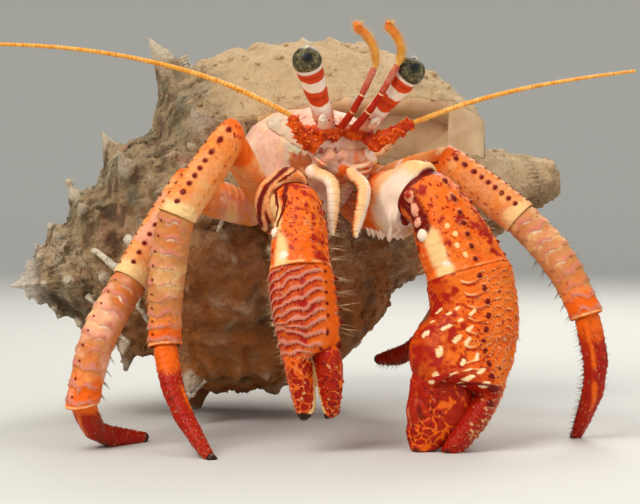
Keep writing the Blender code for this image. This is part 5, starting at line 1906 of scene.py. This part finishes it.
def make_feelers(side):
    base, whip = f"antenna_{side}", f"antenna_whip_{side}"
    joint, _ = facing(base, whip)
    red = stem(base, near_end(base, nose), end=joint)
    joints_along(red, (0.36, 0.62, 0.84), 0.16, 0.3)
    roughen(red, 90)
    put(red)
    thread, ring = ringed_whip(whip, joint, "rings", 0.14, 0.62, 0.05)
    thread.mark(orange=(1 - ring) * 0.9)
    put(thread)
    base, whip = f"antennule_{side}", f"antennule_whip_{side}"
    joint, _ = facing(base, whip)
    red = stem(base, near_end(base, nose), end=joint)
    joints_along(red, (0.3, 0.58))
    red.mark(pink=0.45 * ease(red.t, 0.2, 0.9))
    red.height += 0.05 * red.rough(0.7, 2, 111) * red.open
    put(red)
    plume, ring = ringed_whip(whip, joint, "plume", 0.1, 0.36, 0.06)
    plume.mark(orange=ease(plume.t, 0.1, 0.9) * 0.5 + (1 - ring) * 0.4)
    put(plume)
    reliefs[f"plume_{side}"] = plume
    scale = f"ocular_scale_{side}"
    leaf = stem(scale, near_end(scale, heart), "leaf", stalk_cuticle, "pale_plate", closed_tip=0.5)
    leaf.mark(pink=0.6, white=0.85 * ease(leaf.t + 0.1 * leaf.rough(0.8, 2, 5), 0.35, 0.7))
    leaf.height -= 0.12 * leaf.open
    put(leaf)


# Places on the face are given from the nose, as seen straight from ahead.
face_tree = ray_tree(triangles("face", "shield", "thorax"))


def on_face(left, up, lift):
    """A point this far in front of the face, left of and above the nose."""
    start = nose + leftward * left + UP * up + forward * 15
    hit = face_tree.ray_cast(Vector(start), Vector(-forward))[0]
    return (np.array(hit) if hit else nose + leftward * left + UP * up) + forward * lift


def drawn_stem(name, places, across, material, slot, grain=0.12):
    """A relief along a curve of (left, up, lift) places on the face."""
    path = [on_face(*place) for place in places]
    form = drawn_form(path, across, across, forward)
    relief = Relief(form, neck=0.3, closed_tip=0.5, grain=grain, bare_neck=False)
    relief.piece = (name, material, slot)
    return relief


def make_brow():
    """The spiny chain of antenna bases that crosses the face below the eyes."""
    chain_places = ((0.2, -0.9, 0.5), (2.2, -1.1, 0.8), (4.4, -0.8, 0.7), (6.2, -0.3, 0.2))
    for side, turn in (("left", 1), ("right", -1)):
        places = [(turn * left, up, lift) for left, up, lift in chain_places]
        brow = drawn_stem(f"antenna_base_{side}", places, (0.75, 1.05, 1.15, 0.95, 0.7), finger_cuticle,
                          "red_peduncle")
        joints_along(brow, (0.3, 0.58, 0.8), 0.25, 0.2)
        roughen(brow, 95)
        put(brow)


PALPS = [(1.6, -6.6, 5.8, -4.9, 0.45), (2.0, -7.4, 6.6, -6.0, 0.5), (2.2, -8.3, 6.4, -7.2, 0.45),
         (-2.4, -6.6, -4.9, -4.6, 0.42), (-2.6, -7.6, -5.0, -5.9, 0.42)]


def make_palps():
    """Slim jointed palps that lie over the mouth and point up and out."""
    for k, (left, up, far_left, far_up, wide) in enumerate(PALPS):
        middle = ((left + far_left) / 2, (up + far_up) / 2 - 0.3, 1.0)
        places = [(left, up, 0.2), middle, (far_left, far_up, 0.5)]
        widths = (wide, wide * 1.1, wide * 0.8, wide * 0.5)
        palp = drawn_stem(f"mouth_palp_{k}", places, widths, pale_cuticle, "pale_plate", 0.13)
        joints_along(palp, (0.35, 0.7), 0.12, 0.9)
        palp.mark(orange=(0.85 if k % 2 else 0.45) * ease(palp.t, 0.0, 0.5))
        palp.mark(white=palp.band(0, 0.3) * 0.6)
        put(palp)


def make_mouth_leg(side):
    name = f"maxilliped_{side}"
    start = near_end(name, nose + UP * 6)
    comb = stem(name, start, "arc", pale_cuticle, "pale_plate", hint=forward, closed_tip=0.6)
    length = comb.form.length
    joints_along(comb, (0.42, 0.72), 0.22)
    inner = 90 if side == "right" else 270
    comb.mark(white=comb.band(inner + 180, 1.5) * 0.9, orange=comb.band(inner, 0.7) * 0.6)
    comb.mark(flush=comb.band(inner, 0.5) * fall(comb.t, 0.1, 0.4) * 0.5)
    comb.height += (0.06 * comb.rough(0.9, 2, 121) - 0.18) * comb.open
    for k in range(9):
        comb.height -= 0.1 * bell(comb.s - length * (0.1 + 0.1 * k), 0.12)
    k = np.arange(22)
    comb.studs(length * (0.05 + 0.9 * k / 22), inner + 14 * np.sin(2.6 * k), 0.24, 0.16, 1.0,
               flush=(0.8, 0.6))
    reliefs[name] = put(comb)


def make_rear_leg(name):
    foot = stem(name, near_end(name, heart), "foot", pale_cuticle, "leg_plate", closed_tip=0.8)
    length = foot.form.length
    joints_along(foot, (0.35, 0.7), 0.2)
    foot.mark(pink=0.5 * ease(foot.rough(1.6, 2, 131), -0.3, 0.5), orange=ease(foot.t, 0.6, 0.9) * 0.7)
    for _ in range(60):
        s, degrees = length * (0.45 + 0.5 * rng.random()), rng.uniform(0, 360)
        foot.stud(s, degrees, 0.26, 0.12, 0.9, dark=(0.7, 0.6))
    put(foot)


make_brow()
make_palps()
for side in SIDES:
    make_feelers(side)
    make_mouth_leg(side)
    make_rear_leg(f"leg_{side}4")
    make_rear_leg(f"leg_{side}5")
print("feelers, mouthparts and rear legs set")

# %% [markdown]
# ## Bristles
# Short fringes stand along the scale rows, stiff hairs along the hands, combs on the
# mouthparts and plumes on the antennules. Their roots are picked on the reliefs, where
# the scale rows' edges are known, and Geometry Nodes sets one thin cone on every root.


# %% Pick roots on a relief
class Roots:
    """Places, directions and sizes of the bristles of one piece."""

    def __init__(self, name, colour, tip):
        self.name = name
        self.rows = []
        finish = Finish(name, Specular_IOR_Level=0.3)
        shade = finish.noise(1.5, 2.0)
        mixed = shade.between(0.35, 0.65).mix(colour, tip)
        self.material = finish.done(mixed, shade * 0.2 + 0.45, [(shade, 0.1, 0.02)])

    def add(self, relief, row, column, tall, thick, lean=0.6, side=0.0, out=1.0):
        column = column % relief.spokes
        spot = relief.spots[row, column] + relief.out[row, column] * (relief.height[row, column] - 0.05)
        across = np.cross(relief.along[row, 0], relief.out[row, column])
        aim = unit(relief.out[row, column] * out + relief.along[row, 0] * lean + across * side)
        place = (row / len(relief.s), column / relief.spokes)
        self.rows.append((*spot, *aim, tall, thick, *place))

    def line(self, relief, s_low, s_high, degrees, count, tall, thick, lean=0.6, spread=6.0, **more):
        """A row of bristles along the limb at an angle."""
        for k in range(count):
            s = s_low + (s_high - s_low) * (k + rng.uniform(0.1, 0.9)) / count
            row = int(np.argmin(np.abs(relief.s[:, 0] - s)))
            around = radians(degrees + rng.uniform(-spread, spread))
            column = int(around / (2 * pi) * relief.spokes)
            long = tall * rng.uniform(0.6, 1.15)
            self.add(relief, row, column, long, thick, lean + rng.uniform(-0.25, 0.25), **more)

    def fringe(self, relief, count, tall, thick):
        """Short bristles at the edges of the scale rows, lying along the limb."""
        weight = relief.fringe.ravel() ** 2
        if weight.sum() < 1:
            return
        cells = rng.choice(weight.size, count, p=weight / weight.sum())
        for row, column in zip(*np.unravel_index(cells, relief.fringe.shape)):
            long = tall * rng.uniform(0.6, 1.2)
            self.add(relief, row, column, long, thick, 1.3, rng.uniform(-0.3, 0.3), 0.55)


# %% Grow the bristles
def bristle_tree(start, values):
    """One bent cone on each root, with the root's own direction and size."""
    node = start.node
    def named(name, kind="FLOAT"):
        return node("GeometryNodeInputNamedAttribute", {"Name": name}, data_type=kind)

    sizes = {"Vertices": 4, "Side Segments": 3, "Radius Top": 0.08, "Radius Bottom": 1.0, "Depth": 1.0}
    cone = node("GeometryNodeMeshCone", sizes)
    spot = node("GeometryNodeInputPosition")
    up = spot.part(2)
    bend = node("ShaderNodeCombineXYZ", {0: up * up * values["Bend"]})
    cone = node("GeometryNodeSetPosition", {"Geometry": cone, "Offset": bend})
    aim = {"Vector": named("aim", "FLOAT_VECTOR")}
    turned = node("FunctionNodeAlignRotationToVector", aim, axis="Z")
    thick, tall = named("thick") * MM, named("tall") * MM
    scale = node("ShaderNodeCombineXYZ", {0: thick, 1: thick, 2: tall})
    points = node("GeometryNodeMeshToPoints", {"Mesh": values["Geometry"]})
    inputs = {"Points": points, "Instance": cone, "Rotation": turned, "Scale": scale}
    return node("GeometryNodeInstanceOnPoints", inputs)


PATCH = 0.003


def grow_bristles(roots, slot):
    table = np.array(roots.rows)
    fields = {"tall": table[:, 6], "thick": table[:, 7], "root_u": table[:, 8], "root_v": table[:, 9]}
    host = shape_mesh(f"{roots.name}_roots", table[:, :3], [], fields)
    aim = host.data.attributes.new("aim", "FLOAT_VECTOR", "POINT")
    aim.data.foreach_set("vector", table[:, 3:6].astype(np.float32).ravel())
    bristles = grow(roots.name, bristle_tree, {"Bend": 3.0}, roots.material, host.data)
    bpy.data.objects.remove(host)
    mesh = bristles.data
    count = len(mesh.vertices)
    place = np.stack([read(mesh.attributes[key].data, "value") for key in ("root_u", "root_v")])
    each = count // len(table)
    turn = np.arange(count) % each
    place += (PATCH * np.stack([turn % 4 / 3, turn // 4 / (each / 4)])).astype(np.float32)
    corners = read(mesh.loops, "vertex_index", kind=np.int32)
    for vert in mesh.vertices:
        vert.co.z = max(vert.co.z, DEEPEST)
    bake = mesh.uv_layers.new(name="OFBake")
    bake.data.foreach_set("uv", place[:, corners].T.astype(np.float32).ravel())
    mesh.shade_smooth()
    settle(bristles, roots.material, slot)
    print(roots.name, len(table), "bristles,", len(mesh.polygons), "faces")


# %% The bristles of the limbs
brown_bristles = Roots("brown_bristles", (0.1, 0.035, 0.012), (0.3, 0.13, 0.05))
pale_bristles = Roots("pale_bristles", (0.62, 0.4, 0.2), (0.8, 0.6, 0.36))
for leg in LEG_NAMES:
    for segment, count in (("carpus", 190), ("propodus", 260), ("dactyl", 150)):
        relief = reliefs[f"{leg}_{segment}"]
        length = relief.form.length
        pale_bristles.fringe(relief, count, 0.55, 0.03)
        for degrees in (0, 180):
            brown_bristles.line(relief, 1, length - 1, degrees, 20, 0.9, 0.04, 0.9)
        if segment == "dactyl":
            for degrees in (165, 180, 195):
                brown_bristles.line(relief, 1, length - 1.2, degrees, 26, 1.15, 0.05, 0.5)
            pale_bristles.line(relief, 1, length - 1.2, show_side(leg), 26, 0.7, 0.03, 1.2, 40)
    propodus = reliefs[f"{leg}_propodus"]
    for k in range(6):
        s = propodus.form.length * (0.35 + 0.12 * k)
        brown_bristles.line(propodus, s, s + 0.4, 180, 5, 1.9, 0.045, 0.6, 4)
for side in SIDES:
    for segment, count in (("merus", 60), ("carpus", 420), ("palm", 900), ("dactyl", 150)):
        relief = reliefs[f"claw_{side}_{segment}"]
        pale_bristles.fringe(relief, count, 0.5, 0.03)
    palm, carpus = reliefs[f"claw_{side}_palm"], reliefs[f"claw_{side}_carpus"]
    for relief, count in ((palm, 40), (carpus, 22)):
        length = relief.form.length
        for degrees in (0, 180):
            pale_bristles.line(relief, 1, length - 1, degrees, count, 1.1, 0.032, 0.5, 22)
margin = reliefs["claw_right_palm"]
for place in range(8):
    s = 1.5 + place * 2.3
    pale_bristles.line(margin, s, s + 0.5, 4, 5, 3.4, 0.04, 0.15, 5)
cuff = reliefs["claw_right_carpus"]
for place in range(4):
    s = 3.5 + place * 2.3
    pale_bristles.line(cuff, s, s + 0.5, 4, 5, 3.2, 0.04, 0.0, 5)

# %% The bristles of the head
golden_plumes = Roots("golden_plumes", (0.8, 0.34, 0.04), (0.86, 0.55, 0.14))
for side in SIDES:
    plume = reliefs[f"plume_{side}"]
    for degrees in range(0, 360, 24):
        golden_plumes.line(plume, 0.3, plume.form.length, degrees, 34, 1.0, 0.026, 1.1, 10)
    comb = reliefs[f"maxilliped_{side}"]
    inner = 90 if side == "right" else 270
    for degrees in (inner - 16, inner, inner + 16):
        brown_bristles.line(comb, 0.8, comb.form.length - 0.4, degrees, 44, 1.9, 0.034, 0.15, 5)
    pale_bristles.line(comb, 0.8, comb.form.length, inner + 180, 30, 0.7, 0.026, 1.0, 30)
grow_bristles(brown_bristles, "red_finger")
grow_bristles(pale_bristles, "pale_plate")
grow_bristles(golden_plumes, "yellow_feeler")

# %% Solids still shown
for leftover, obj in nodes.items():
    if not obj.hide_render:
        print("still plain", leftover)
